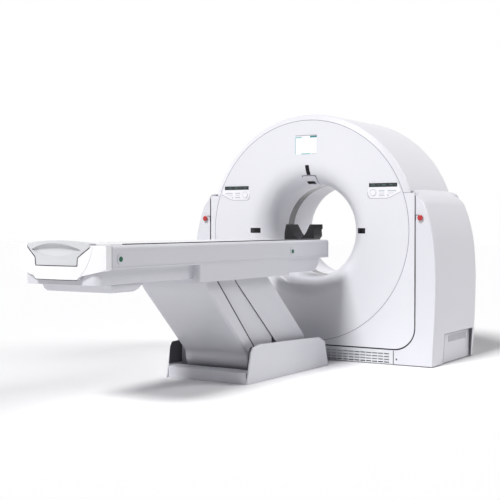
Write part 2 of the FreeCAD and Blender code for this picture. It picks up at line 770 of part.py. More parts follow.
slip_ring = keep(new_body("slip_ring", True))
turn(slip_ring, [(ring_start, hub_radius), (ring_end, hub_radius), (ring_end, slip_radius), (ring_start, slip_radius)])

brush_half = size("brush_half_width", 50)
brush_gap = size("brush_gap", 1.5)
brush_deep = size("brush_block_depth", 90)
keep(box("brush_block", (-brush_half, plate_rear, iso_height - slip_radius - brush_deep),
         (brush_half, ring_end, iso_height - slip_radius - brush_gap)))

tube_height = size("tube_height", 640)
tube_radius = size("tube_radius", 88)
tube_front = -size("tube_front", 150)
port_low = size("tube_port_low", 545)
port_half = size("tube_port_half_width", 50)
port_deep = size("tube_port_half_depth", 45)
collar_half = size("tube_collar_half_width", 40)
collar_step = size("tube_collar_step", 8)
tube_housing = rod("tube_housing", "y", (sized(0), tube_front, iso_height + tube_height), drum_front - tube_front, tube_radius)
tube_collar = rod("tube_collar", "y", (sized(0), -collar_half, iso_height + tube_height), collar_half * 2,
                  tube_radius + collar_step)
tube_port = box("tube_port", (-port_half, -port_deep, iso_height + port_low),
                (port_half, port_deep, iso_height + tube_height))
keep(boolean("Fuse", "xray_tube", tube_housing, [tube_collar, tube_port]))

collimator_low = size("collimator_low", 468)
collimator_wide = size("collimator_low_half_width", 110)
collimator_narrow = size("collimator_high_half_width", 60)
beam_wide = size("beam_low_half_width", 78)
beam_narrow = size("beam_high_half_width", 34)
beam_half = size("beam_half_depth", 50)
rotor_unit_front = -size("rotor_unit_front", 70)
collimator = keep(new_body("collimator", True))
add(collimator, "XZ_Plane", [[(-collimator_wide, collimator_low), (collimator_wide, collimator_low),
                              (collimator_narrow, port_low), (-collimator_narrow, port_low)]],
    rotor_unit_front, drum_front)
cut(collimator, "XZ_Plane", [[(-beam_wide, collimator_low - 1), (beam_wide, collimator_low - 1),
                              (beam_narrow, port_low + 1), (-beam_narrow, port_low + 1)]], -beam_half, beam_half)

focus_height = size("focus_height", 600)
detector_far = focus_height + size("detector_drop", 565)
detector_near = detector_far - size("detector_depth", 85)
fan_half = size("fan_half_angle", 26)
detector = keep(new_body("detector_arc", True))
fan = [(-(sine(fan_half) * detector_near), focus_height - cosine(fan_half) * detector_near, detector_near),
       (sine(fan_half) * detector_near, focus_height - cosine(fan_half) * detector_near),
       (sine(fan_half) * detector_far, focus_height - cosine(fan_half) * detector_far, -detector_far),
       (-(sine(fan_half) * detector_far), focus_height - cosine(fan_half) * detector_far)]
add(detector, "XZ_Plane", [fan], rotor_unit_front, drum_front)

generator_out = size("generator_outer_side", 700)
generator_in = size("generator_inner_side", 440)
generator_front = -size("generator_front", 120)
generator_half = size("generator_half_height", 150)
keep(box("hv_generator", (-generator_out, generator_front, iso_height - generator_half),
         (-generator_in, drum_front, iso_height + generator_half)))
motor_radius = size("motor_radius", 85)
motor_length = size("motor_length", 150)
shaft_depth = size("motor_shaft_depth", 60)
motor = keep(new_body("drive_motor"))
add(motor, "XZ_Plane", [], plate_rear, plate_rear + motor_length,
    circles=[(motor_across, motor_height, motor_radius)])
cut(motor, "XZ_Plane", [], plate_rear, plate_rear + shaft_depth,
    circles=[(motor_across, motor_height, shaft_radius + 0.05)])
pulley_radius = size("pulley_radius", 58)
pulley_half = size("pulley_half_width", 22)
belt_gap = size("belt_gap", 0.4)
belt_thick = size("belt_thickness", 5)
belt_middle = rim_front + (drum_front + drum_thick - rim_front) / 2
pulley = keep(new_body("motor_pulley"))
add(pulley, "XZ_Plane", [], belt_middle - pulley_half, belt_middle + pulley_half,
    circles=[(motor_across, motor_height, pulley_radius)])
add(pulley, "XZ_Plane", [], belt_middle + pulley_half, plate_rear + shaft_depth - 2,
    circles=[(motor_across, motor_height, shaft_radius)])


def belt_loop(extra):
    """The belt's line round the drum's rim and the motor pulley, extra outside them."""
    down = motor_height - iso_height
    distance = root(motor_across * motor_across + down * down)
    big, small = rim_outer + extra, pulley_radius + extra
    cos_line, sin_line = motor_across / distance, down / distance
    cos_side = (big - small) / distance
    sin_side = root(1 - cos_side * cos_side)
    upper = (cos_line * cos_side - sin_line * sin_side, sin_line * cos_side + cos_line * sin_side)
    lower = (cos_line * cos_side + sin_line * sin_side, sin_line * cos_side - cos_line * sin_side)
    return [(upper[0] * big, upper[1] * big, big), (-(cos_line * big), -(sin_line * big), big),
            (lower[0] * big, lower[1] * big), (motor_across + lower[0] * small, down + lower[1] * small, small),
            (motor_across + upper[0] * small, down + upper[1] * small)]


belt = keep(new_body("drive_belt", True))
add(belt, "XZ_Plane", [belt_loop(belt_gap + belt_thick), belt_loop(belt_gap)],
    belt_middle - pulley_half + 2, belt_middle + pulley_half - 2)


# ---------------------------------------------------------------- lift: sizes and side-view geometry

lift_angle = size("lift_angle", 44)
arm_length = size("arm_length", 771.6)
foot_pivot = -size("foot_pivot", 1460)
head_pivot = -size("head_pivot", 970)
pivot_height = size("pivot_height", 160)
stay_share = size("stay_share", 0.2)
pivot_radius = size("pivot_radius", 18)
pivot_fit = size("pivot_clearance", 0.05)
arm_half = size("arm_half_depth", 35)
arm_in = size("arm_inner_face", 150)
arm_out = size("arm_outer_face", 200)
boss_radius = size("arm_boss_radius", 42)
web_half = size("arm_web_half_thickness", 6)
stay_pivot = foot_pivot + (head_pivot - foot_pivot) * stay_share
upper_height = pivot_height + arm_length * sine(lift_angle)
lean = arm_length * cosine(lift_angle)


def along(pivot, reach, out):
    """A place reach up an arm from its lower pivot, and out towards the foot side."""
    return (pivot - cosine(lift_angle) * reach - sine(lift_angle) * out,
            pivot_height + sine(lift_angle) * reach - cosine(lift_angle) * out)


def arm_outline(pivot):
    """An arm seen from the side: a bar with round ends."""
    end, middle = arm_length, sized(0)
    return [along(pivot, middle, -arm_half), along(pivot, end, -arm_half) + (arm_half,),
            along(pivot, end + arm_half, middle) + (arm_half,), along(pivot, end, arm_half),
            along(pivot, middle, arm_half) + (arm_half,), along(pivot, -arm_half, middle) + (arm_half,)]


def link(label, pivot, web_start, web_end, bridges):
    """A pair of parallel arms joined by a web, with bored round ends."""
    body = new_body(label)
    top = along(pivot, arm_length, sized(0))
    for side in (1, -1):
        low, high = span(side, arm_in, arm_out)
        outline = arm_outline(pivot)
        add(body, "YZ_Plane", [outline], low, high,
            circles=[(pivot, pivot_height, pivot_radius + pivot_fit), top + (pivot_radius + pivot_fit,)])
    web = [along(pivot, web_start, -web_half), along(pivot, web_end, -web_half),
           along(pivot, web_end, web_half), along(pivot, web_start, web_half)]
    add(body, "YZ_Plane", [web], -arm_in, arm_in)
    for outline, low, high in bridges:
        add(body, "YZ_Plane", [outline], low, high)
    return body


shroud_half = size("shroud_half_width", 255)
shroud_wall = size("shroud_wall", 5)
shroud_step = size("shroud_step", 6)
face_out = size("foot_face_offset", 95)
lower_drum = size("lower_drum_radius", 150)
drum_under = size("drum_under_angle", 215)
drum_over = size("drum_over_angle", 140)

# Foot-side arms and their slanted cover, whose foot wraps round the lower pivot.
lug_reach = (size("lug_low_reach", 230), size("lug_high_reach", 620))
lug_half = size("lug_half_width", 30)
lug_lap = size("lug_lap", 2)
lugs = []
for reach in lug_reach:
    lugs.append(([along(foot_pivot, reach - lug_half, arm_half - lug_lap),
                  along(foot_pivot, reach + lug_half, arm_half - lug_lap),
                  along(foot_pivot, reach + lug_half, face_out - shroud_wall),
                  along(foot_pivot, reach - lug_half, face_out - shroud_wall)], -arm_out, arm_out))
keep(link("foot_link", foot_pivot, size("foot_web_start", 260), size("foot_web_end", 520), lugs))

cover_open = size("lift_cover_opening", 60)
back_top = (size("foot_back_top_across", 22), size("foot_back_top_drop", 4))
back_low = (size("foot_back_low_across", 34), size("foot_back_low_rise", 8))
foot_heel = (size("foot_heel_across", 60), size("foot_heel_drop", 60))


def foot_cover_outline(wall, inner):
    """The foot-side cover from the side. wall shrinks it from its outside; inner opens it inwards."""
    out = face_out - wall
    drum = lower_drum - wall
    upper = face_out - wall
    start = root(lower_drum * lower_drum - face_out * face_out)
    joint_reach = start if not inner else root(drum * drum - out * out)
    joint = along(foot_pivot, joint_reach, out)
    low_end = (foot_pivot + cosine(drum_under) * drum, pivot_height + sine(drum_under) * drum)
    top = along(foot_pivot, arm_length, sized(0))
    high_end = (top[0] + cosine(drum_over) * upper, top[1] + sine(drum_over) * upper)
    inwards = cover_open if inner else sized(0)
    return [joint, along(foot_pivot, arm_length, out) + (-upper,), high_end,
            (top[0] + back_top[0] + inwards, top[1] - back_top[1] + inwards),
            (foot_pivot - back_low[0] + inwards, pivot_height + back_low[1]),
            (foot_pivot - foot_heel[0] + inwards, pivot_height - foot_heel[1]), low_end + (-drum,)]


foot_cover = keep(new_body("foot_link_cover"))
add(foot_cover, "YZ_Plane", [foot_cover_outline(sized(0), False)], -shroud_half, shroud_half)
cut(foot_cover, "YZ_Plane", [foot_cover_outline(shroud_wall, True)], -(shroud_half - shroud_wall), shroud_half - shroud_wall)

# Head-side arms, with the pin that the lift rod pushes, and their cover.
ram_reach = size("ram_reach", 600)
ram_pin = size("ram_pin_radius", 15)
head_link = link("head_link", head_pivot, size("head_web_start", 100), size("head_web_end", 330), [])
ram_pin_place = along(head_pivot, ram_reach, sized(0))
add(head_link, "YZ_Plane", [], -arm_in, arm_in, circles=[ram_pin_place + (ram_pin,)])
keep(head_link)

head_face = size("head_face_radius", 133)
head_top = size("head_face_top", 1387)
head_top_height = size("head_face_top_height", 700)
head_slope_across = size("head_slope_across", 0.6573)
head_slope_up = size("head_slope_up", 0.7537)
head_edge_top = size("head_edge_top", 1790)
head_edge_low = size("head_edge_low", 1190)
head_edge_foot = size("head_edge_foot", 178)
head_under = -size("head_drum_under_angle", 50)
head_heel = (size("head_heel_across", 60), size("head_heel_drop", 90))


def head_cover_outline(wall, inner):
    """The head-side cover from the side: its face slopes down to a drum round the lower pivot."""
    drum = head_face - wall
    reach = cover_open if inner else sized(0)
    joint = (head_pivot + head_slope_across * drum, pivot_height + head_slope_up * drum)
    top = (-head_top - wall * 1.5, head_top_height + reach)
    low_end = (head_pivot + cosine(head_under) * drum, pivot_height + sine(head_under) * drum)
    return [joint, top, (-head_edge_top - reach, head_top_height + reach),
            (-head_edge_low - reach, head_edge_foot - reach), (head_pivot - head_heel[0] - reach, pivot_height - head_heel[1] - reach),
            low_end + (drum,)]


head_cover = keep(new_body("head_link_cover"))
head_half = shroud_half - shroud_step
add(head_cover, "YZ_Plane", [head_cover_outline(sized(0), False)], -head_half, head_half)
cut(head_cover, "YZ_Plane", [head_cover_outline(shroud_wall, True)], -(head_half - shroud_wall), head_half - shroud_wall)

# Centre plates: one each side, hung on stays of their own between the two covers.
centre_half_out = head_half - shroud_step
stay_foot_edge = size("stay_foot_edge", 100)
stay_head_edge = size("stay_head_edge", 165)
stay_knee = size("stay_knee_reach", 320)
stay_pin = size("stay_pin_radius", 9)
stay_short = size("stay_top_setback", 10)
stay_top_edge = size("stay_top_head_edge", 60)
stay_low = size("stay_low_reach", 60)
stay_toe = (size("stay_toe_reach", 45), size("stay_toe_edge", 40))
centre_plates = keep(new_body("centre_covers"))
for side in (1, -1):
    low, high = span(side, centre_half_out - shroud_wall, centre_half_out)
    outline = [along(stay_pivot, arm_length - stay_short, stay_foot_edge),
               along(stay_pivot, arm_length - stay_short, -stay_top_edge),
               along(stay_pivot, stay_knee, -stay_head_edge), along(stay_pivot, stay_low, -stay_head_edge),
               along(stay_pivot, -stay_toe[0], -stay_toe[1]), along(stay_pivot, -stay_toe[0], stay_foot_edge)]
    add(centre_plates, "YZ_Plane", [outline], low, high,
        circles=[(stay_pivot, pivot_height, stay_pin + pivot_fit)])
centre_plates.AllowCompound = True

# Lift cylinder and rod. The rod's eye is the pivot where the linkage is open.
ram_pivot = -size("ram_pivot", 1100)
ram_height = size("ram_pivot_height", 60)
ram_radius = size("ram_radius", 32)
ram_length = size("ram_length", 380)
rod_radius = size("ram_rod_radius", 16)
ram_eye_gap = size("ram_eye_gap", 6)
ram_pin_radius = size("ram_foot_pin_radius", 12)
ram_start = size("ram_barrel_start", 16)
ram_bore_start = size("ram_bore_start", 60)
ram_foot_half = size("ram_foot_half_width", 30)
ram_foot_radius = size("ram_foot_radius", 28)
rod_inside = size("ram_rod_inside", 200)
rod_short = size("ram_rod_eye_lap", 2)
eye_half = size("ram_eye_half_width", 25)
eye_wall = size("ram_eye_wall", 12)
ram_dx = ram_pin_place[0] - ram_pivot
ram_dz = ram_pin_place[1] - ram_height
ram_span = root(ram_dx * ram_dx + ram_dz * ram_dz)
ram_u = (ram_dx / ram_span, ram_dz / ram_span)


def ram_place(reach, out):
    """A place reach along the lift cylinder from its pivot, and out to one side."""
    return (ram_pivot + ram_u[0] * reach - ram_u[1] * out, ram_height + ram_u[1] * reach + ram_u[0] * out)


def ram_turn(label, radius, start, end):
    """A round bar on the cylinder's axis."""
    piece = doc.addObject("Part::Cylinder", label)
    piece.Label = label
    piece.setExpression("Radius", sized(radius).text)
    piece.setExpression("Height", (sized(end) - sized(start)).text)
    place = ram_place(sized(start), sized(0))
    piece.Placement.Rotation = FreeCAD.Rotation(FreeCAD.Vector(0, 0, 1),
                                                FreeCAD.Vector(0, ram_u[0].value, ram_u[1].value))
    piece.setExpression("Placement.Base.y", place[0].text)
    piece.setExpression("Placement.Base.z", place[1].text)
    return piece


ram_barrel = ram_turn("ram_barrel", ram_radius, ram_start, ram_length)
ram_bore = ram_turn("ram_bore", rod_radius + pivot_fit, ram_bore_start, ram_length + 1)
ram_foot = rod("ram_foot", "x", (-ram_foot_half, ram_pivot, ram_height), ram_foot_half * 2, ram_foot_radius)
ram_foot_hole = rod("ram_foot_hole", "x", (-ram_foot_half - 1, ram_pivot, ram_height), ram_foot_half * 2 + 2,
                    ram_pin_radius + pivot_fit)
ram_body = boolean("Fuse", "ram_body", ram_barrel, [ram_foot])
ram_bored = boolean("Cut", "ram_bored", ram_body, [ram_bore])
keep(boolean("Cut", "lift_cylinder", ram_bored, [ram_foot_hole]))
rod_bar = ram_turn("rod_bar", rod_radius, ram_length - rod_inside, ram_span - ram_pin - ram_eye_gap - rod_short)
rod_eye = rod("rod_eye", "x", (-eye_half, ram_pin_place[0], ram_pin_place[1]), eye_half * 2,
              ram_pin + ram_eye_gap + eye_wall)
rod_eye_hole = rod("rod_eye_hole", "x", (-eye_half - 1, ram_pin_place[0], ram_pin_place[1]), eye_half * 2 + 2,
                   ram_pin + ram_eye_gap)
rod_solid = boolean("Fuse", "rod_solid", rod_bar, [rod_eye])
keep(boolean("Cut", "lift_rod", rod_solid, [rod_eye_hole]))


# ---------------------------------------------------------------- table base

cheek_out = size("cheek_outer_face", 323.5)
cheek_thick = size("cheek_thickness", 13)
base_foot = -size("base_foot_end", 1732)
base_head = -size("base_head_end", 634)
base_plate = size("base_plate_thickness", 12)
ledge_high = size("ledge_height", 82)
ledge_deep = size("ledge_depth", 86)
base_setback = size("base_plate_setback", 14)
bracket_in = size("bracket_inner_face", 100)
bracket_out = size("bracket_outer_face", 130)
bracket_foot = size("bracket_foot_half", 45)
bracket_head = size("bracket_head_half", 26)
bracket_over = size("bracket_over_pivot", 34)
stay_bracket_in = size("stay_bracket_inner_face", 212)
stay_bracket_out = size("stay_bracket_outer_face", 224)
stay_bracket_foot = size("stay_bracket_foot_half", 40)
stay_bracket_head = size("stay_bracket_head_half", 20)
ram_bracket_in = size("ram_bracket_inner_face", 34)
ram_bracket_out = size("ram_bracket_outer_face", 46)
shaft_end = arm_out + size("shaft_overhang", 5)


def bracket(pivot, height, foot, head, over):
    """An upright bracket from the side: wide on the base plate, narrow over its pivot."""
    return [(pivot - foot, base_plate), (pivot + foot, base_plate), (pivot + head, height + over),
            (pivot - head, height + over)]


table_base = new_body("table_base_plate")
add(table_base, "XY_Plane", [rectangle(-(cheek_out - cheek_thick), base_foot + base_setback, cheek_out - cheek_thick,
                                       base_head)], sized(0), base_plate)
for side in (1, -1):
    for near, far, outline in (
            (bracket_in, bracket_out, bracket(foot_pivot, pivot_height, bracket_foot, bracket_head, bracket_over)),
            (bracket_in, bracket_out, bracket(head_pivot, pivot_height, bracket_foot, bracket_head, bracket_over)),
            (stay_bracket_in, stay_bracket_out,
             bracket(stay_pivot, pivot_height, stay_bracket_foot, stay_bracket_head, stay_bracket_head)),
            (ram_bracket_in, ram_bracket_out,
             bracket(ram_pivot, ram_height, stay_bracket_foot, stay_bracket_head, stay_bracket_head))):
        add(table_base, "YZ_Plane", [outline], *span(side, near, far))
stay_reach = centre_half_out - stay_bracket_in
shafts = [rod("foot_shaft", "x", (-shaft_end, foot_pivot, pivot_height), shaft_end * 2, pivot_radius),
          rod("head_shaft", "x", (-shaft_end, head_pivot, pivot_height), shaft_end * 2, pivot_radius),
          rod("ram_shaft", "x", (-ram_bracket_out, ram_pivot, ram_height), ram_bracket_out * 2, ram_pin_radius),
          rod("stay_pin_right", "x", (stay_bracket_in, stay_pivot, pivot_height), stay_reach, stay_pin),
          rod("stay_pin_left", "x", (-centre_half_out, stay_pivot, pivot_height), stay_reach, stay_pin)]
keep(boolean("Fuse", "table_base", table_base, shafts))

cheeks = keep(new_body("base_cheeks"))
cheek_toe_high = size("cheek_toe_height", 40)
cheek_heel_high = size("cheek_heel_height", 63)
cheek_outline = [(base_foot, sized(0)), (base_head, sized(0)),
                 (base_head - size("cheek_toe_setback", 3), cheek_toe_high),
                 (base_head - size("cheek_slope_setback", 44), size("cheek_slope_height", 178)),
                 (base_head - size("cheek_ridge_setback", 130), size("cheek_ridge_height", 217)),
                 (head_pivot, size("cheek_middle_height", 226)),
                 (foot_pivot - size("cheek_crown_across", 110), size("cheek_crown_height", 246)),
                 (base_foot + size("cheek_brow_setback", 76), size("cheek_brow_height", 232)),
                 (base_foot + size("cheek_face_setback", 51), size("cheek_face_height", 203)),
                 (base_foot + size("cheek_heel_setback", 17), cheek_heel_high)]
for side in (1, -1):
    low, high = span(side, cheek_out - cheek_thick, cheek_out)
    add(cheeks, "YZ_Plane", [cheek_outline], low, high)
cheeks.AllowCompound = True

ledge = keep(new_body("base_front_cover"))
ledge_back = base_foot + base_setback + ledge_deep
ledge_half = cheek_out - cheek_thick - size("ledge_side_gap", 4)
ledge_face = base_foot + base_setback
ledge_wall = size("ledge_wall", 5)
ledge_lean = size("ledge_lean", 6)
ledge_bevel = (size("ledge_bevel_across", 18), size("ledge_bevel_down", 10))
ledge_inside = (size("ledge_inside_across", 26), size("ledge_inside_down", 20))
add(ledge, "YZ_Plane", [[(ledge_face - ledge_lean, sized(0)), (ledge_face, sized(0)),
                         (ledge_face, ledge_high - ledge_inside[1]),
                         (ledge_face + ledge_inside[0], ledge_high - ledge_wall), (ledge_back, ledge_high - ledge_wall),
                         (ledge_back, ledge_high), (ledge_face + ledge_bevel[0], ledge_high),
                         (ledge_face, ledge_high - ledge_bevel[1])]], -ledge_half, ledge_half)

bridge_half = size("bridge_half_width", 180)
bridge_high = size("bridge_height", 58)
bridge_wall = size("bridge_wall", 4)
bridge_slope = size("bridge_slope", 12)
bridge_inside = bridge_half - bridge_slope - bridge_wall
bridge = keep(new_body("cable_bridge"))
add(bridge, "XZ_Plane", [[(-bridge_half, sized(0)), (-bridge_half + bridge_wall, sized(0)),
                          (-bridge_inside, bridge_high - bridge_wall), (bridge_inside, bridge_high - bridge_wall),
                          (bridge_half - bridge_wall, sized(0)), (bridge_half, sized(0)),
                          (bridge_half - bridge_slope, bridge_high), (-bridge_half + bridge_slope, bridge_high)]],
    base_head + 1, front_plane - 1)


# ---------------------------------------------------------------- table top

top_half = size("table_half_width", 312)
top_high = size("table_top_height", 913)
top_low = size("table_shell_bottom", 785)
shell_foot = -size("table_shell_foot", 3047)
shell_head = -size("table_shell_head", 606)
shell_wall = size("table_shell_wall", 6)
shell_round = size("table_edge_radius", 18)
lip_half = size("table_lip_half_width", 226)
lip_low = size("table_lip_bottom", 868)
flange_in = size("table_flange_inner_edge", 258)
skin_low = size("side_panel_low", 795)
skin_high = size("side_panel_high", 885)
skin_deep = size("side_panel_depth", 3)

shell = new_body("table_shell_body")
right_wall = [(flange_in, top_low), (top_half, top_low), (top_half, top_high - shell_round, shell_round),
              (top_half - shell_round, top_high), (lip_half, top_high), (lip_half, lip_low), (lip_half + shell_wall, lip_low),
              (lip_half + shell_wall, top_high - shell_wall), (top_half - shell_round, top_high - shell_wall, -(shell_round - shell_wall)),
              (top_half - shell_wall, top_high - shell_round), (top_half - shell_wall, top_low + shell_wall),
              (flange_in, top_low + shell_wall)]
add(shell, "XZ_Plane", [right_wall, mirrored(right_wall)], shell_foot, shell_head)
add(shell, "XZ_Plane", [rectangle(-top_half + shell_wall - 1, top_low, top_half - shell_wall + 1, sized(845))],
    shell_head - shell_wall, shell_head)
for side in (1, -1):
    low, high = span(side, top_half - skin_deep, top_half + 1)
    cut(shell, "YZ_Plane", [rectangle(shell_foot + 8, skin_low, shell_head - 8, skin_high)], low, high)
button_height = size("release_button_height", 839)
button_foot = -size("release_button_foot", 2974)
button_head = -size("release_button_head", 1130)
button_radius = size("release_button_radius", 14)
bezel_radius = size("release_bezel_radius", 28)
button_travel = size("release_button_travel", 3)
bezels = []
for side, name in ((1, "right"), (-1, "left")):
    for end, place in (("foot", button_foot), ("head", button_head)):
        low, high = span(side, top_half - shell_wall, top_half + 1)
        bezels.append((low, high, place))
for low, high, place in bezels:
    add(shell, "YZ_Plane", [], low, high, circles=[(place, button_height, bezel_radius)])
    cut(shell, "YZ_Plane", [], low - 1, high + 1, circles=[(place, button_height, button_radius + body_gap)])
shell.Label = "table_shell"
keep(shell)
for side, name in ((1, "right"), (-1, "left")):
    for end, place in (("foot", button_foot), ("head", button_head)):
        button = keep(new_body(f"{name}_{end}_button"))
        low, high = span(side, top_half - shell_wall - 4, top_half + 1 + button_travel)
        add(button, "YZ_Plane", [], low, high, circles=[(place, button_height, button_radius)])

# Foot end: a bowed cover with an end cap let into it.
rail_in = size("slide_rail_inner", 262)
rail_out = size("slide_rail_outer", 296)
slide_foot = -size("slide_rail_foot", 3030)
slide_head = -size("slide_rail_head", 640)
bow = size("foot_bow", 57)
foot_corner = -size("foot_corner", 3094)
bow_radius = (top_half * top_half + bow * bow) / (2 * bow)


def bowed(half, setback, back):
    """The foot end in plan: a bow across the width. setback moves it towards the head."""
    radius = bow_radius - setback
    centre = foot_corner - bow + bow_radius
    edge = centre - root(radius * radius - half * half)
    return [(-half, back), (-half, edge, radius), (half, edge), (half, back)]


end_sag = size("foot_end_sag", 50)
end_bend = (top_half * top_half + end_sag * end_sag) / (2 * end_sag)
cap_half = size("cap_half_width", 238)
cap_low_half = size("cap_low_half_width", 148)
cap_high = size("cap_high", 903)
cap_low = size("cap_low", 730)
cap_bend = size("cap_side_bend", 290)
cap_fit = size("cap_clearance", 1)
cap_thick = size("cap_thickness", 16)
grip_half = size("grip_half_width", 222)
grip_knee_half = size("grip_knee_half_width", 152)
grip_low_half = size("grip_low_half_width", 148)
grip_shoulder = size("grip_shoulder", 901)
grip_edge = size("grip_edge", 922)
grip_high = size("grip_high", 938)
grip_knee = size("grip_knee", 848)
grip_low = size("grip_low", 804)
grip_gap = size("grip_gap", 3)
grip_thick = size("grip_thickness", 52)
grip_setback = size("grip_setback", 2)
foot_front = foot_corner - bow - 20


def sagging(edge):
    """What lies under the foot end: everything below an arc that sags from one side to the other."""
    low = edge - end_sag - 1
    return [(-top_half - 1, low), (top_half + 1, low), (top_half + 1, edge), (top_half, edge, -end_bend),
            (-top_half, edge), (-top_half - 1, edge)]


def cap_outline(extra):
    return [(-(cap_low_half + extra), cap_low - extra), (cap_low_half + extra, cap_low - extra, cap_bend),
            (cap_half + extra, cap_high), (-(cap_half + extra), cap_high, cap_bend)]


def grip_outline(extra):
    shoulder_up, knee_up = grip_shoulder - extra * 0.4, grip_knee - extra * 0.4
    crown = (grip_half * grip_half) / (2 * (grip_high - grip_edge))
    return [(-(grip_low_half + extra), grip_low - extra), (grip_low_half + extra, grip_low - extra),
            (grip_knee_half + extra, knee_up), (grip_half + extra, shoulder_up),
            (grip_half + extra, grip_edge + extra, crown), (-(grip_half + extra), grip_edge + extra),
            (-(grip_half + extra), shoulder_up), (-(grip_knee_half + extra), knee_up)]


end_block = new_body("foot_end_block")
add(end_block, "XY_Plane", [bowed(top_half, sized(0), shell_foot)], top_low - end_sag, top_high)
cut(end_block, "XZ_Plane", [sagging(top_low)], foot_front, shell_foot + 1)
cut(end_block, "XZ_Plane", [rectangle(-lip_half, lip_low, lip_half, top_high + 1)], foot_front, shell_foot + 1)
cut(end_block, "XZ_Plane", [cap_outline(cap_fit)], foot_front, shell_foot - 20)
end_hollow = new_body("foot_end_hollow")
add(end_hollow, "XY_Plane", [bowed(top_half - shell_wall, shell_wall, shell_foot + 20)], top_low - end_sag,
    top_high - shell_wall)
cut(end_hollow, "XZ_Plane", [sagging(top_low + shell_wall)], foot_front, shell_foot + 21)
keep(boolean("Cut", "foot_end_cover", end_block, [end_hollow]))

# The cap follows the bow and hangs from the table frame on two tabs.
tab_in = size("cap_tab_inner_edge", 60)
tab_out = size("cap_tab_outer_edge", 90)
tab_thick = size("cap_tab_thickness", 8)
cap_band = new_body("cap_band")
add(cap_band, "XY_Plane", [bowed(top_half, sized(0), foot_corner + 40)], cap_low - 5, cap_high + 40)
cut(cap_band, "XY_Plane", [bowed(top_half + 20, cap_thick, foot_corner + 60)], cap_low - 6, cap_high + 41)
cap_face = new_body("cap_face")
add(cap_face, "XZ_Plane", [cap_outline(sized(0))], foot_front, foot_corner + 60)
cut(cap_face, "XZ_Plane", [grip_outline(grip_gap)], foot_front - 1, foot_corner + 61)
cap_shell = boolean("Common", "cap_shell", cap_band, [cap_face])
cap_tabs = []
for side, name in ((1, "right"), (-1, "left")):
    low, high = span(side, tab_in, tab_out)
    cap_tabs.append(box(f"cap_tab_{name}", (low, foot_corner - bow + cap_thick / 2, top_low + shell_wall - tab_thick),
                        (high, slide_foot + tab_out, top_low + shell_wall)))
keep(boolean("Fuse", "foot_end_cap", cap_shell, cap_tabs))

# The grip rides on the cradle's foot end, with a scooped recess for the fingers.
scoop_radius = size("scoop_radius", 60)
scoop_height = size("scoop_height", 889)
scoop_left = -size("scoop_left_end", 185)
scoop_right = size("scoop_right_end", 170)
scoop_bend = size("scoop_bend", 465)
scoop_back = size("scoop_centre_setback", 30)
grip_band = new_body("grip_band")
add(grip_band, "XY_Plane", [bowed(top_half, grip_setback, foot_corner + 90)], grip_low - 5, grip_high + 10)
cut(grip_band, "XY_Plane", [bowed(top_half + 20, grip_thick, foot_corner + 110)], grip_low - 6, grip_high + 11)
grip_face = new_body("grip_face")
add(grip_face, "XZ_Plane", [grip_outline(sized(0))], foot_front, foot_corner + 120)
grip_solid = boolean("Common", "grip_solid", grip_band, [grip_face])
scoop_lens = new_body("scoop_lens")
add(scoop_lens, "XZ_Plane", [[(scoop_left, scoop_height, scoop_bend), (scoop_right, scoop_height, scoop_bend)]],
    foot_front, foot_corner)
scoop_rod = rod("scoop_rod", "x", (-top_half, foot_corner - bow - scoop_back, scoop_height), top_half * 2, scoop_radius)
scoop = boolean("Common", "scoop", scoop_rod, [scoop_lens])
keep(boolean("Cut", "foot_grip", grip_solid, [scoop]))

# Cradle: the couch top, with side runners that slide on the table frame's rails.
cradle_half = size("cradle_half_width", 221)
cradle_thick = size("cradle_thickness", 18)
cradle_high = size("cradle_height", 915)
runner_out = size("runner_outer", 288)
runner_low = size("runner_low", 852)
runner_high = size("runner_high", 862)
cradle_head = -size("cradle_head_end", 600)
cradle_foot = foot_corner + 50
cradle = keep(new_body("cradle"))
board = [(-cradle_half, cradle_high - cradle_thick), (-202, cradle_high - cradle_thick), (-202, runner_high),
         (-runner_out, runner_high), (-runner_out, runner_low), (-190, runner_low),
         (-190, cradle_high - cradle_thick), (190, cradle_high - cradle_thick), (190, runner_low),
         (runner_out, runner_low), (runner_out, runner_high), (202, runner_high),
         (202, cradle_high - cradle_thick), (cradle_half, cradle_high - cradle_thick),
         (cradle_half, cradle_high), (cradle_half - 12, cradle_high + 4), (cradle_half - 40, cradle_high - 4),
         (-cradle_half + 40, cradle_high - 4), (-cradle_half + 12, cradle_high + 4), (-cradle_half, cradle_high)]
add(cradle, "XZ_Plane", [board], cradle_foot, cradle_head)

# Head holder: a rigid trough with two raised wings, on a tongue from the cradle's head end.
holder_start = cradle_head
holder_end = -size("holder_head_end", 332)
holder_half = size("holder_half_width", 116)
holder_low = size("holder_low", 905)
holder_high = size("holder_high", 1024)
holder_foot = -size("holder_foot_end", 490)
holder_wall = size("holder_wall", 9)
holder = keep(new_body("head_holder"))
holder_bend = size("holder_bend", 118)
holder_lean = size("holder_wing_lean", 2)
holder_rise = size("holder_bend_rise", 95)
tongue_half = size("holder_tongue_half_width", 60)
tongue_step = size("holder_tongue_step", 3)
tongue_lap = size("holder_tongue_lap", 40)
trough = [(-holder_half, holder_high), (-holder_half + holder_lean, holder_low + holder_rise, holder_bend),
          (holder_half - holder_lean, holder_low + holder_rise), (holder_half, holder_high),
          (holder_half - holder_wall, holder_high),
          (holder_half - holder_wall - holder_lean, holder_low + holder_rise, -(holder_bend - holder_wall)),
          (-holder_half + holder_wall + holder_lean, holder_low + holder_rise), (-holder_half + holder_wall, holder_high)]
add(holder, "XZ_Plane", [trough], holder_foot, holder_end)
add(holder, "XZ_Plane", [rectangle(-tongue_half, cradle_high - cradle_thick, tongue_half, cradle_high + tongue_step)],
    holder_start, holder_foot + tongue_lap)


# ---------------------------------------------------------------- table body and frame

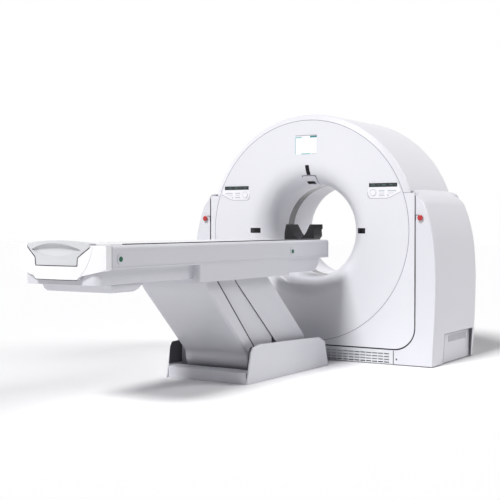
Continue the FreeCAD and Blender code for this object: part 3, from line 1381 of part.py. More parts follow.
body_low = size("table_body_low", 700)
body_wall = size("table_body_wall", 5)
body_seam = size("table_body_seam", 1)
body_round = size("table_body_corner", 50)
step_foot = -size("body_step_foot", 2243)
step_head = -size("body_step_head", 1174)
body_foot = -size("body_foot_end", 3110)
body_head = -size("body_head_end", 722)
narrow_half = size("body_narrow_half", 265)
skirt_low = size("body_skirt_low", 678)
head_box_low = size("body_head_box_low", 693)
head_box_half = top_half - size("body_head_box_setback", 14)
head_box_slope = (-size("head_box_slope_start", 786), -size("head_box_slope_end", 734))
head_box_rise = (size("head_box_slope_low", 742), size("head_box_slope_high", 770))


def foot_tray(inset):
    """The foot part of the body cover from above, with two round corners."""
    half, front, bend = narrow_half - inset, body_foot + inset, body_round - inset
    return [(-half, step_foot + 1 + inset), (-half, front + bend, bend), (-half + bend, front), (half - bend, front, bend),
            (half, front + bend), (half, step_foot + 1 + inset)]


def head_box(inset, past):
    """The head part of the body cover from the side, cut away towards the gantry. past opens it below."""
    start, top = step_head - 1 + past, top_low + inset
    low = head_box_low - past
    return [(start, low), (head_box_slope[0] - inset, low), (head_box_slope[1] - inset, head_box_rise[0]),
            (body_head - inset, head_box_rise[1] + past), (body_head - inset, top), (start, top)]


lower = keep(new_body("table_body_cover"))
add(lower, "XY_Plane", [foot_tray(sized(0))], body_low, top_low)
cut(lower, "XY_Plane", [foot_tray(body_wall)], body_low + body_wall, top_low + 1)
add(lower, "YZ_Plane", [rectangle(step_foot, skirt_low, step_head, top_low)], -top_half, top_half)
cut(lower, "YZ_Plane", [rectangle(step_foot + body_wall, skirt_low - 1, step_head - body_wall, top_low + 1)],
    -(top_half - body_wall), top_half - body_wall)
add(lower, "YZ_Plane", [head_box(sized(0), sized(0))], -head_box_half, head_box_half)
cut(lower, "YZ_Plane", [head_box(body_wall, sized(1))], -(head_box_half - body_wall), head_box_half - body_wall)
cut(lower, "XZ_Plane", [rectangle(-shroud_half - shroud_wall, skirt_low - 1, shroud_half + shroud_wall, top_low + 1)],
    step_head - body_wall - 1, step_head + 1)
under = top_low - body_seam
cut(lower, "XZ_Plane", [[(-top_half, under, end_bend), (top_half, under), (top_half, top_high), (-top_half, top_high)]],
    body_foot - 1, shell_foot)

pan_half = size("pan_half_width", 250)
pan_low_half = size("pan_bottom_half_width", 234)
pan_low = size("pan_bottom", 652)
pan_chamfer = size("pan_chamfer", 16)
pan_front = -size("pan_front", 2985)
pan_front_low = -size("pan_front_bottom", 2960)
pan_back_low = -size("pan_back_bottom", 2765)
pan_back = -size("pan_back", 2690)
pan = keep(new_body("foot_pan"))
add(pan, "YZ_Plane", [[(pan_front, body_low), (pan_front_low, pan_low), (pan_back_low, pan_low), (pan_back, body_low)]],
    -pan_half, pan_half)
edge = [(pan_low_half - 1, pan_low - 1), (pan_half + 1, pan_low - 1), (pan_half + 1, pan_low + pan_chamfer + 1)]
cut(pan, "XZ_Plane", [edge, mirrored(edge)], pan_front - 1, pan_back + 1)

plate_foot = -size("foot_cross_plate_end", 2260)
plate_head = -size("head_cross_plate_start", 1120)
frame_low = top_low + shell_wall
frame_plate = size("frame_plate_thickness", 8)
beam_low = size("frame_beam_bottom", 771)
beam_half = size("frame_beam_half_depth", 40)
beam_end = flange_in - 2
hanger_in = size("hanger_inner_face", 100)
hanger_out = size("hanger_outer_face", 140)
hanger_half = size("hanger_half_depth", 25)
foot_top = along(foot_pivot, arm_length, sized(0))
head_top_place = along(head_pivot, arm_length, sized(0))
table_frame = new_body("table_frame_body")
for side in (1, -1):
    low, high = span(side, rail_in, rail_out)
    add(table_frame, "YZ_Plane", [rectangle(slide_foot, frame_low, slide_head, runner_low - body_gap)], low, high)
for start, end in ((slide_foot, plate_foot), (plate_head, slide_head),
                   (foot_top[0] - beam_half, foot_top[0] + beam_half),
                   (head_top_place[0] - beam_half, head_top_place[0] + beam_half)):
    add(table_frame, "XY_Plane", [rectangle(-rail_in - 1, start, rail_in + 1, end)], frame_low, frame_low + frame_plate)
for pivot in (foot_top, head_top_place):
    add(table_frame, "XY_Plane", [rectangle(-beam_end, pivot[0] - beam_half, beam_end, pivot[0] + beam_half)],
        beam_low, frame_low + frame_plate / 2)
    for side in (1, -1):
        add(table_frame, "YZ_Plane", [rectangle(pivot[0] - hanger_half, pivot[1] - hanger_half - 1,
                                                pivot[0] + hanger_half, beam_low + 1)], *span(side, hanger_in, hanger_out))
top_shafts = [rod("foot_top_shaft", "x", (-shaft_end, foot_top[0], foot_top[1]), shaft_end * 2, pivot_radius),
              rod("head_top_shaft", "x", (-shaft_end, head_top_place[0], head_top_place[1]), shaft_end * 2,
                  pivot_radius)]
keep(boolean("Fuse", "table_frame", table_frame, top_shafts))


# ---------------------------------------------------------------- checks and files

doc.recompute()
faults = []
for item in doc.Objects:
    if "Invalid" in item.State or "Error" in item.State:
        faults.append(f"{item.Name} ({item.Label}): {item.State}")
for piece in PARTS:
    if piece.Shape.isNull() or not piece.Shape.isValid() or not piece.Shape.Solids:
        faults.append(f"{piece.Label}: bad shape")
if faults:
    raise SystemExit("\n".join(faults))
os.makedirs("parts", exist_ok=True)
for piece in PARTS:
    piece.Shape.exportStep(f"parts/{piece.Label}.step")
print(len(PARTS), "pieces written")
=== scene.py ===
import math
import bpy
import bmesh
from mathutils import Matrix, Vector


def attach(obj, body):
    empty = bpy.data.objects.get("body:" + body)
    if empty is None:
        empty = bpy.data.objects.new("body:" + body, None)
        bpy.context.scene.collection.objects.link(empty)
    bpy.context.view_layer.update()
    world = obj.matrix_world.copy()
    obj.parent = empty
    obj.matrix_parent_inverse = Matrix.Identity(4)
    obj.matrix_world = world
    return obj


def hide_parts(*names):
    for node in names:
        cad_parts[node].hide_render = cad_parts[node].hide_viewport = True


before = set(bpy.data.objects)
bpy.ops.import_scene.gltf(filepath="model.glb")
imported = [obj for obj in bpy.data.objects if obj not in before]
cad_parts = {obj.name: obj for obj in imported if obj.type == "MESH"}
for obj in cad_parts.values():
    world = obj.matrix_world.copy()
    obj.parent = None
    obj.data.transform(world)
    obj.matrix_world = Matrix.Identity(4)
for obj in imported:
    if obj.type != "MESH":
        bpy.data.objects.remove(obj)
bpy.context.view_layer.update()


# ---------------------------------------------------------------- room
# The scanner stands in a bright studio on a pale seamless floor, seen at head height from off the
# table's foot. The key lamp shines down from the front, and three weaker ones soften it. The room is
# white to the camera and in reflections, and dim to everything else.

EYE = (3.8094, -7.2482, 1.0272)
LOOK_DOWN, LOOK_LEFT = math.radians(1.454), math.radians(32.131)
camera_data = bpy.data.cameras.new("camera")
camera_data.lens = 74.07
camera_data.sensor_width = 36
camera = bpy.data.objects.new("camera", camera_data)
camera.location = EYE
camera.rotation_euler = (math.pi / 2 - LOOK_DOWN, 0, LOOK_LEFT)
bpy.context.collection.objects.link(camera)
bpy.context.scene.camera = camera
bpy.context.scene.view_settings.view_transform = "Standard"

FLOOR_HALF = 40
floor_form = bmesh.new()
bmesh.ops.create_grid(floor_form, x_segments=8, y_segments=8, size=FLOOR_HALF)
bmesh.ops.translate(floor_form, verts=floor_form.verts, vec=(0, 0, -0.0005))
floor_mesh = bpy.data.meshes.new("studio_floor")
floor_form.to_mesh(floor_mesh)
floor_form.free()
studio_floor = bpy.data.objects.new("studio_floor", floor_mesh)
bpy.context.collection.objects.link(studio_floor)
pale = bpy.data.materials.new("pale_floor")
pale.use_nodes = True
pale_shader = pale.node_tree.nodes["Principled BSDF"]
pale_shader.inputs["Base Color"].default_value = (0.97, 0.97, 0.975, 1)
pale_shader.inputs["Roughness"].default_value = 0.7
pale_shader.inputs["Specular IOR Level"].default_value = 0.0
floor_mesh.materials.append(pale)

world = bpy.data.worlds.new("studio")
bpy.context.scene.world = world
world.use_nodes = True
sky = world.node_tree
sky_place = sky.nodes.new("ShaderNodeTexCoord")
sky_split = sky.nodes.new("ShaderNodeSeparateXYZ")
sky_fade = sky.nodes.new("ShaderNodeMapRange")
sky_fade.inputs["From Min"].default_value = -0.25
sky_fade.inputs["From Max"].default_value = 0.3
sky_fade.inputs["To Min"].default_value = 0.02
sky_fade.inputs["To Max"].default_value = 0.10
sky.links.new(sky_place.outputs["Generated"], sky_split.inputs["Vector"])
sky.links.new(sky_split.outputs["Z"], sky_fade.inputs["Value"])
sky_light = sky.nodes["Background"]
sky_light.inputs["Color"].default_value = (0.96, 0.96, 1.0, 1)
sky.links.new(sky_fade.outputs["Result"], sky_light.inputs["Strength"])
sky_white = sky.nodes.new("ShaderNodeBackground")
sky_white.inputs["Color"].default_value = (1, 1, 1, 1)
sky_seen = sky.nodes.new("ShaderNodeLightPath")
sky_mix = sky.nodes.new("ShaderNodeMixShader")
sky_bright = sky.nodes.new("ShaderNodeMath")
sky_bright.operation = "MAXIMUM"
sky.links.new(sky_seen.outputs["Is Camera Ray"], sky_bright.inputs[0])
sky.links.new(sky_seen.outputs["Is Glossy Ray"], sky_bright.inputs[1])
sky.links.new(sky_bright.outputs[0], sky_mix.inputs[0])
sky.links.new(sky_light.outputs[0], sky_mix.inputs[1])
sky.links.new(sky_white.outputs[0], sky_mix.inputs[2])
sky.links.new(sky_mix.outputs[0], sky.nodes["World Output"].inputs["Surface"])


def far_lamp(name, towards, spread, power):
    """A wide lamp far away, that shines towards a direction with soft shadows."""
    lamp_data = bpy.data.lights.new(name, "SUN")
    lamp_data.energy = power
    lamp_data.angle = math.radians(spread)
    lamp = bpy.data.objects.new(name, lamp_data)
    lamp.rotation_euler = Vector(towards).to_track_quat("-Z", "Y").to_euler()
    bpy.context.collection.objects.link(lamp)


far_lamp("key_lamp", (0.06, 0.68, -0.72), 15, 2.9)
far_lamp("far_side_lamp", (-0.6, -0.5, -0.6), 30, 1.2)
far_lamp("low_front_lamp", (0.1, 1.0, 0.1), 20, 0.45)
far_lamp("left_lamp", (0.9, 0.2, -0.2), 30, 0.25)


# ---------------------------------------------------------------- gantry: base and stator frame
# A base of welded steel rails on levelling feet carries a cast stator plate and the hoops that the
# covers hang from. All of it is painted light grey and hidden behind the covers.

PATCH_SCALE, SHEEN_DRIFT = 2.2, 0.06


def finish(name, colour, tint, roughness, grain=900, depth=0.02, metal=0.0, coat=0.0, gloss=0.5):
    """A finish whose colour drifts towards a tint in soft patches, with a fine grain in its gloss
    and surface."""
    made = bpy.data.materials.new(name)
    made.use_nodes = True
    nodes, links = made.node_tree.nodes, made.node_tree.links
    shader = nodes["Principled BSDF"]
    shader.inputs["Metallic"].default_value = metal
    shader.inputs["Specular IOR Level"].default_value = gloss
    shader.inputs["Coat Weight"].default_value = coat
    shader.inputs["Coat Roughness"].default_value = 0.12
    place = nodes.new("ShaderNodeTexCoord")
    patches = nodes.new("ShaderNodeTexNoise")
    patches.inputs["Scale"].default_value = PATCH_SCALE
    patches.inputs["Detail"].default_value = 5
    grains = nodes.new("ShaderNodeTexNoise")
    grains.inputs["Scale"].default_value = grain
    grains.inputs["Detail"].default_value = 2
    tone = nodes.new("ShaderNodeMix")
    tone.data_type = "RGBA"
    tone.inputs[6].default_value = (*colour, 1)
    tone.inputs[7].default_value = (*tint, 1)
    sheen = nodes.new("ShaderNodeMapRange")
    sheen.inputs["To Min"].default_value = roughness - SHEEN_DRIFT
    sheen.inputs["To Max"].default_value = roughness + SHEEN_DRIFT
    relief = nodes.new("ShaderNodeBump")
    relief.inputs["Strength"].default_value = 0.25
    relief.inputs["Distance"].default_value = depth * 0.001
    links.new(place.outputs["Object"], patches.inputs["Vector"])
    links.new(place.outputs["Object"], grains.inputs["Vector"])
    links.new(patches.outputs["Fac"], tone.inputs[0])
    links.new(tone.outputs[2], shader.inputs["Base Color"])
    links.new(patches.outputs["Fac"], sheen.inputs["Value"])
    links.new(sheen.outputs["Result"], shader.inputs["Roughness"])
    links.new(grains.outputs["Fac"], relief.inputs["Height"])
    links.new(relief.outputs["Normal"], shader.inputs["Normal"])
    return made


def dress(material, *names):
    """Gives pieces of the frame a finish."""
    for name in names:
        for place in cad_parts[name].material_slots:
            place.material = material


frame_paint = finish("frame_paint", (0.42, 0.45, 0.48), (0.46, 0.49, 0.52), 0.42)
dress(frame_paint, "gantry_base", "stator_frame")


# ---------------------------------------------------------------- gantry: rotor
# The rotor is a turned aluminium drum in one large bearing. It carries the painted tube, generator
# and brush gear, the lead-lined collimator and the detector, with brass tracks behind.

ISOCENTRE = 0.976


def turned_finish(name, colour, roughness, pitch):
    """Turned metal: fine rings round the bore's axis in its gloss and surface."""
    made = finish(name, colour, tuple(min(1.0, part * 1.12) for part in colour), roughness, metal=1.0)
    nodes, links = made.node_tree.nodes, made.node_tree.links
    place = nodes.new("ShaderNodeTexCoord")
    centre = nodes.new("ShaderNodeMapping")
    centre.inputs["Location"].default_value = (0, 0, -ISOCENTRE)
    rings = nodes.new("ShaderNodeTexWave")
    rings.wave_type = "RINGS"
    rings.rings_direction = "Y"
    rings.inputs["Scale"].default_value = pitch
    rings.inputs["Distortion"].default_value = 0.4
    relief = nodes.new("ShaderNodeBump")
    relief.inputs["Strength"].default_value = 0.2
    relief.inputs["Distance"].default_value = 0.0002
    links.new(place.outputs["Object"], centre.inputs["Vector"])
    links.new(centre.outputs["Vector"], rings.inputs["Vector"])
    links.new(rings.outputs["Fac"], relief.inputs["Height"])
    links.new(relief.outputs["Normal"], nodes["Principled BSDF"].inputs["Normal"])
    return made


turned_metal = turned_finish("turned_aluminium", (0.62, 0.63, 0.65), 0.3, 60)
dress(turned_metal, "rotor_drum", "bearing_outer_ring", "motor_pulley")
dress(turned_finish("brass_tracks", (0.72, 0.54, 0.24), 0.22, 25), "slip_ring")
machined = finish("machined_steel", (0.58, 0.59, 0.61), (0.66, 0.67, 0.69), 0.3, metal=1.0)
dress(machined, "collimator", "detector_arc", "lift_rod")
unit_paint = finish("unit_paint", (0.30, 0.36, 0.42), (0.34, 0.40, 0.46), 0.38)
dress(unit_paint, "hv_generator", "xray_tube", "brush_block", "drive_motor")
dress(finish("belt_rubber", (0.02, 0.02, 0.02), (0.035, 0.035, 0.035), 0.7), "drive_belt")


# ---------------------------------------------------------------- gantry: round front and rear covers
# Each face has a flat round cover, thick moulded plastic sprayed satin white with a faint orange
# peel. The front one has shallow pockets for the screen and the two control panels.

def round_edges(form, edges, width, segments, clamp=False):
    """Rounds some edges of a form over."""
    bmesh.ops.bevel(form, geom=edges, offset=width, offset_type="OFFSET", affect="EDGES", segments=segments,
                    profile=0.5, material=-1, clamp_overlap=clamp)


def eased(node, width, segments=2, sharp=40):
    """A form copied from a piece of the frame: its triangles merged to whole faces, its sharp edges
    rounded over."""
    form = bmesh.new()
    form.from_mesh(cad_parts[node].data)
    bmesh.ops.remove_doubles(form, verts=form.verts, dist=0.00001)
    bmesh.ops.dissolve_limit(form, angle_limit=math.radians(0.3), verts=form.verts, edges=form.edges)
    corners = [edge for edge in form.edges
               if len(edge.link_faces) == 2 and edge.calc_face_angle(0) > math.radians(sharp)]
    round_edges(form, corners, width, segments, clamp=True)
    return form


def settle(form, name, material, body, *nodes, slot=None, sharp=35):
    """Makes a form into a piece, smooth between its edges, that rides on a body and stands for nodes
    of the frame."""
    bmesh.ops.recalc_face_normals(form, faces=form.faces)
    mesh = bpy.data.meshes.new(name)
    form.to_mesh(mesh)
    form.free()
    mesh.materials.append(material)
    mesh.shade_smooth()
    mesh.set_sharp_from_angle(angle=math.radians(sharp))
    piece = bpy.data.objects.new(name, mesh)
    bpy.context.collection.objects.link(piece)
    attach(piece, body)
    if nodes:
        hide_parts(*nodes)
    even = piece.modifiers.new("even_shading", "WEIGHTED_NORMAL")
    even.keep_sharp = True
    return piece


cover_white = finish("cover_white", (0.72, 0.72, 0.765), (0.75, 0.75, 0.79), 0.34, coat=0.15)
settle(eased("front_cover", 0.0008), "front_disc", cover_white, "stand", "front_cover", slot="shell_white")
settle(eased("rear_cover", 0.0008), "rear_disc", cover_white, "stand", "rear_cover", slot="shell_white")


# ---------------------------------------------------------------- gantry: funnels and bore liners
# In the middle of each face one smooth moulding flares into the bore and runs on as its liner,
# as far as the smoked ring. It is the same white as the covers.

def line(points, closed=False):
    """A form that is just a line through some points across the bore's axis: (along, out)."""
    form = bmesh.new()
    ends = [form.verts.new((0, along, ISOCENTRE + out)) for along, out in points]
    for here, there in zip(ends, ends[1:] + (ends[:1] if closed else [])):
        form.edges.new((here, there))
    return form, ends


def round_off(form, corner, radius, segments):
    """Rounds one corner of a line."""
    bmesh.ops.bevel(form, geom=[corner], offset=radius, offset_type="OFFSET", affect="VERTICES",
                    segments=segments, profile=0.5, material=-1)


def spin_round(form, steps=180):
    """Spins a line a full turn round the bore's axis."""
    bmesh.ops.spin(form, geom=form.verts[:] + form.edges[:], cent=(0, 0, ISOCENTRE), axis=(0, 1, 0),
                   angle=math.tau, steps=steps, use_merge=True, use_duplicate=False)


BORE = 0.350
FACE_FRONT, FACE_REAR = -0.370, 0.460
FLARE_FRONT, FLARE_REAR = 0.180, 0.149
COVER_WALL = 0.006
LINER_END = 0.0475
HAIR = 0.00001
for name, face, facing, flare in (("front_funnel", FACE_FRONT, -1, FLARE_FRONT),
                                  ("rear_funnel", FACE_REAR, 1, FLARE_REAR)):
    mouth, back = BORE + flare, face - facing * COVER_WALL
    form, ends = line([(face, mouth), (face, BORE), (facing * LINER_END, BORE),
                       (facing * LINER_END, BORE + COVER_WALL), (back, BORE + COVER_WALL), (back, mouth)],
                      closed=True)
    round_off(form, ends[1], flare - HAIR, 24)
    round_off(form, ends[4], flare - COVER_WALL - HAIR, 24)
    spin_round(form)
    settle(form, f"{name}_skin", cover_white, "stand", name, slot="shell_white", sharp=50)


# ---------------------------------------------------------------- gantry: scan window
# A smoked ring closes the gap between the two liners. The rotor shines its fan through it. It is
# thin clear plastic, dark grey from behind and polished.

smoked = finish("smoked_ring", (0.075, 0.075, 0.08), (0.095, 0.095, 0.10), 0.22, depth=0.002, coat=0.3)
RING_IN, RING_STEP, RING_OUT = 0.3505, 0.356, 0.359
RING_HALF, LIP_HALF = 0.047, 0.061
form, ends = line([
    (-RING_HALF, RING_IN), (RING_HALF, RING_IN), (RING_HALF, RING_STEP), (LIP_HALF, RING_STEP),
    (LIP_HALF, RING_OUT), (-LIP_HALF, RING_OUT), (-LIP_HALF, RING_STEP), (-RING_HALF, RING_STEP)], closed=True)
spin_round(form)
settle(form, "smoked_ring", smoked, "stand", "scan_window", slot="dark_window", sharp=50)


# ---------------------------------------------------------------- gantry: dome
# One half-round shell covers the top of the gantry, with a bevelled shoulder at each face. It is
# sprayed like the round covers, with softly rounded creases, and stops level at the side covers.

def slice_at(form, spot, facing, clear=False):
    """Cuts a form through at a plane, and clears what lies behind it if asked."""
    bmesh.ops.bisect_plane(form, geom=form.verts[:] + form.edges[:] + form.faces[:], dist=0.000001,
                           plane_co=spot, plane_no=facing, clear_inner=clear)


DOME, RING = 0.885, 0.842
BEVEL, FLANGE = 0.028, 0.034
CREASE, EDGE = 0.010, 0.0025
SHOULDER = 1.254
form, ends = line([
    (FACE_FRONT, RING), (FACE_FRONT + BEVEL, DOME), (FACE_REAR - BEVEL, DOME), (FACE_REAR, RING),
    (FACE_REAR - FLANGE, RING), (FACE_REAR - FLANGE, RING + COVER_WALL),
    (FACE_REAR - COVER_WALL, RING + COVER_WALL), (FACE_REAR - BEVEL - 0.003, DOME - COVER_WALL),
    (FACE_FRONT + BEVEL + 0.003, DOME - COVER_WALL), (FACE_FRONT + COVER_WALL, RING + COVER_WALL),
    (FACE_FRONT + FLANGE, RING + COVER_WALL), (FACE_FRONT + FLANGE, RING)], closed=True)
for number in (1, 2):
    round_off(form, ends[number], CREASE, 5)
for number in (0, 3):
    round_off(form, ends[number], EDGE, 3)
spin_round(form, 220)
slice_at(form, (0, 0, SHOULDER), (0, 0, 1), clear=True)
bmesh.ops.holes_fill(form, edges=[edge for edge in form.edges if len(edge.link_faces) == 1], sides=0)
settle(form, "dome", cover_white, "stand", "dome_cover", slot="shell_white", sharp=30)


# ---------------------------------------------------------------- gantry: lower covers
# Under the shoulders a plate with a round cut-out fills each face below the disc. Front and rear
# are alike, moulded with a flange round their edges.

for name in ("front_lower_cover", "rear_lower_cover"):
    settle(eased(name, 0.002), f"{name}_skin", cover_white, "stand", name, slot="shell_white")


# ---------------------------------------------------------------- gantry: side covers
# Two tall shells close the sides, with a round brow that leans on the dome and a belly that swells
# towards the middle. Their white is a shade greyer, as painted shade on the sides. An opening low at
# the side takes the hatch.

def wire(form, points, corners):
    """A bent line through points, some of its corners rounded: corners holds (number, radius,
    segments). Returns its ends."""
    ends = [form.verts.new(point) for point in points]
    for here, there in zip(ends, ends[1:]):
        form.edges.new((here, there))
    for number, radius, segments in corners:
        round_off(form, ends[number], radius, segments)
    return ends[0], ends[-1]


def draw_out(form, edges, shift):
    """Draws faces out of some edges, and returns the new vertices and the new edges."""
    grown = bmesh.ops.extrude_edge_only(form, edges=edges)["geom"]
    ring = [item for item in grown if isinstance(item, bmesh.types.BMVert)]
    bmesh.ops.translate(form, verts=ring, vec=shift)
    return ring, [item for item in grown if isinstance(item, bmesh.types.BMEdge)]


def thicken(piece, wall, offset=0.0):
    """Gives a piece of bare faces its wall, before its shading is evened."""
    thick = piece.modifiers.new("thickness", "SOLIDIFY")
    thick.thickness = wall
    thick.offset = offset
    piece.modifiers.move(1, 0)


# A shade greyer copy of the covers' white: painted shade, used on the side covers and smaller parts.
side_white = finish("side_white", (0.69, 0.69, 0.735), (0.71, 0.71, 0.755), 0.36, coat=0.12)
SEAM_HALF, SEAM_FOOT, SEAM_CORNER, SEAM_TOP = 0.893, 0.107, 0.171, 1.2445
SIDE_MIDDLE, SIDE_FOOT, SIDE_SKIN = -0.05, 0.006, 0.005
SEAM_CLEAR = 0.012
WAIST_FROM, BROW_FROM = 0.72, 1.17
HATCH_FRONT, HATCH_REAR, HATCH_HIGH = -0.171, 0.403, 0.224
SIDE_RINGS = (
    ((-0.15, 0.97, 1.0, 0.836), (-0.25, 0.95, 1.0, 0.839), (-0.335, 0.93, 1.0, 0.845),
     (-0.353, 0.975, 0.996, 0.862), (-0.364, 0.98, 0.989, 0.880), (FACE_FRONT, 0.98, 0.988, SEAM_HALF)),
    ((0.10, 1.0, 1.0, 0.833), (0.40, 0.97, 1.0, 0.834), (0.430, 0.95, 1.0, 0.838),
     (0.445, 0.96, 0.996, 0.862), (0.455, 0.97, 0.989, 0.880), (FACE_REAR, 0.98, 0.988, SEAM_HALF)))


def in_hatch(face):
    """True for a face where the hatch's opening goes."""
    spot = face.calc_center_median()
    return spot.x > 0.98 and HATCH_FRONT < spot.y < HATCH_REAR and spot.z < HATCH_HIGH


def side_skin():
    """The right side cover's skin: rings of its outline run from the middle to both faces, each with
    its place, the shares that its brow and waist keep, and how far out its top leans. They close on
    a front and a rear plate that keep clear of the lower covers."""
    form = bmesh.new()
    wire(form, [(across, SIDE_MIDDLE, height) for across, height in (
        (0.833, 1.284), (0.938, 1.216), (1.010, 1.032), (1.0495, 0.800), (1.0495, 0.400),
        (1.024, SIDE_FOOT))], [(1, 0.052, 10), (2, 0.100, 8), (3, 0.180, 8), (4, 0.180, 6)])
    middle = form.edges[:]
    for rings in SIDE_RINGS:
        edges, place = middle, SIDE_MIDDLE
        for along, brow, waist, lean in rings:
            ring, edges = draw_out(form, edges, (0, along - place, 0))
            bmesh.ops.scale(form, verts=ring, vec=(waist, 1, 1),
                            space=Matrix.Translation((-WAIST_FROM, 0, 0)))
            bmesh.ops.scale(form, verts=[vert for vert in ring if vert.co.z > BROW_FROM], vec=(1, 1, brow),
                            space=Matrix.Translation((0, 0, -BROW_FROM)))
            top = max(ring, key=lambda vert: vert.co.z - vert.co.x)
            top.co.x = lean
            place = along
        top.co.z = SEAM_TOP
        for vert in ring:
            if vert is not top and vert.co.x < SEAM_HALF + SEAM_CLEAR:
                vert.co.x = SEAM_HALF + SEAM_CLEAR
        heel_across = SEAM_HALF - SEAM_CORNER - 0.001
        foot = min(ring, key=lambda vert: vert.co.z)
        inner = bmesh.ops.create_vert(form, co=(SEAM_HALF, place, SEAM_FOOT))["vert"][0]
        low = bmesh.ops.create_vert(form, co=(heel_across, place, SEAM_FOOT))["vert"][0]
        heel = bmesh.ops.create_vert(form, co=(heel_across, place, SIDE_FOOT))["vert"][0]
        for pair in ((top, inner), (inner, low), (low, heel), (heel, foot)):
            form.edges.new(pair)
        round_off(form, inner, SEAM_CORNER, 14)
        bmesh.ops.contextual_create(form, geom=[
            edge for edge in form.edges if len(edge.link_faces) < 2
            and all(abs(vert.co.y - place) < 0.00001 for vert in edge.verts)])
    slice_at(form, (0, HATCH_FRONT, 0), (0, 1, 0))
    slice_at(form, (0, HATCH_REAR, 0), (0, 1, 0))
    slice_at(form, (0, 0, HATCH_HIGH), (0, 0, 1))
    bmesh.ops.delete(form, geom=[face for face in form.faces if in_hatch(face)], context="FACES")
    return form


for side, name in ((1, "right"), (-1, "left")):
    form = side_skin()
    bmesh.ops.scale(form, verts=form.verts, vec=(side, 1, 1))
    skin = settle(form, f"{name}_side_skin", side_white, "stand", f"{name}_side_cover",
                  slot="side_white", sharp=28)
    for vert in skin.data.vertices:
        if abs(abs(vert.co.x) - SEAM_HALF) < 0.0001 and vert.co.z > SEAM_TOP - 0.0005:
            vert.co.y -= math.copysign(SIDE_SKIN, vert.co.y)  # or the wall's corner stands out of the face
    thicken(skin, SIDE_SKIN, -1.0)


# ---------------------------------------------------------------- gantry: seams
# A grey ring lies in the joint round each disc, and dark strips in the joints beside the lower covers
# and along their foot: both are painted shade in the joints. Short strips close the shoulders, and
# screws hold the foot's corners.

def bar(form, low, high):
    """Adds a square bar between two corners to a form."""
    made = bmesh.ops.create_cube(form, size=1)["verts"]
    bmesh.ops.scale(form, verts=made, vec=[there - here for here, there in zip(low, high)])
    bmesh.ops.translate(form, verts=made, vec=[(here + there) / 2 for here, there in zip(low, high)])


# Dark rubber for real joints; the same dark is set into open gaps as painted shade.
dark_rubber_and_painted_shade = finish("dark_rubber_and_painted_shade", (0.045, 0.045, 0.05), (0.06, 0.06, 0.065), 0.6, gloss=0.2)
# Grey for the rings in the disc joints: painted shade in the joint.
painted_shade_seam_grey = finish("painted_shade_seam_grey", (0.30, 0.29, 0.35), (0.33, 0.32, 0.38), 0.6, gloss=0.2)
SEAM_IN, SEAM_OUT = 0.8381, 0.8419
for name, near, far in (("front_seam_ring", FACE_FRONT + 0.0015, FACE_FRONT + 0.012),
                        ("rear_seam_ring", FACE_REAR - 0.012, FACE_REAR - 0.0015)):
    form, ends = line([(near, SEAM_IN), (near, SEAM_OUT), (far, SEAM_OUT), (far, SEAM_IN)], closed=True)
    spin_round(form)
    settle(form, name, painted_shade_seam_grey, "stand", slot="dark_window", sharp=50)

# Dark strips in the joints beside the lower covers and along their foot: painted shade in the gaps.
STRIP_HALF, STRIP_FOOT, STRIP_TOP, STRIP_CORNER = 0.888, 0.112, 1.238, 0.166
for name, near, far in (("front_seam_strip", FACE_FRONT + 0.006, FACE_FRONT + 0.020),
                        ("rear_seam_strip", FACE_REAR - 0.020, FACE_REAR - 0.006)):
    form = bmesh.new()
    wire(form, [(-STRIP_HALF, near, STRIP_TOP), (-STRIP_HALF, near, STRIP_FOOT),
                (STRIP_HALF, near, STRIP_FOOT), (STRIP_HALF, near, STRIP_TOP)],
         [(1, STRIP_CORNER, 12), (2, STRIP_CORNER, 12)])
    draw_out(form, form.edges[:], (0, far - near, 0))
    thicken(settle(form, name, dark_rubber_and_painted_shade, "stand", slot="dark_window", sharp=50), 0.0094)

SHOULDER_MIDDLE, SHOULDER_HALF = 0.789, 0.097
form = bmesh.new()
for side in (-1, 1):
    for near, far in ((FACE_FRONT + 0.002, FACE_FRONT + 0.045), (FACE_REAR - 0.045, FACE_REAR - 0.002)):
        bar(form, (side * SHOULDER_MIDDLE - SHOULDER_HALF, near, 1.2470),
            (side * SHOULDER_MIDDLE + SHOULDER_HALF, far, 1.2515))
settle(form, "shoulder_strips", side_white, "stand", slot="side_white")

JOINT, SCREW = (0.7215, 0.0030, 0.008, 0.104), (0.7460, 0.0055, 0.036, 0.049)
form = bmesh.new()
for side in (-1, 1):
    for across, half, low, high in (JOINT, SCREW):
        bar(form, (side * across - half, FACE_FRONT - 0.0004, low),
            (side * across + half, FACE_FRONT + 0.002, high))
settle(form, "foot_joints", dark_rubber_and_painted_shade, "stand", slot="dark_window")


# ---------------------------------------------------------------- gantry: vent hatches and grilles
# Low in each side cover a removable plate with a fine upright louvre is let in, with a dark strip
# round it that is painted shade in the gap. Across the foot of the gantry, rows of slots let cooling air in.

settle(eased("vent_hatches", 0.001), "hatch_plates", side_white, "stand", "vent_hatches", slot="side_white")
# Dark strips round each hatch: painted shade in the gap round the plate.
GAP_LOW, GAP_LOW_ACROSS, GAP_HIGH_ACROSS = 0.008, 1.0247, 1.0388
for side, name in ((1, "right"), (-1, "left")):
    form = bmesh.new()
    wire(form, [(side * across, along, height) for across, along, height in (
        (GAP_LOW_ACROSS, HATCH_FRONT, GAP_LOW), (GAP_HIGH_ACROSS, HATCH_FRONT, HATCH_HIGH),
        (GAP_HIGH_ACROSS, HATCH_REAR, HATCH_HIGH), (GAP_LOW_ACROSS, HATCH_REAR, GAP_LOW))], [])
    draw_out(form, form.edges[:], (side * -0.002, 0, 0))
    thicken(settle(form, f"{name}_hatch_gap", dark_rubber_and_painted_shade, "stand", slot="dark_window", sharp=50), 0.0032)
grille_white = finish("grille_white", (0.66, 0.67, 0.70), (0.70, 0.71, 0.74), 0.42)
dress(grille_white, "base_grilles")


# ---------------------------------------------------------------- gantry: screen
# A flat display sits flush in the face above the bore, showing a white page with thin teal bars.

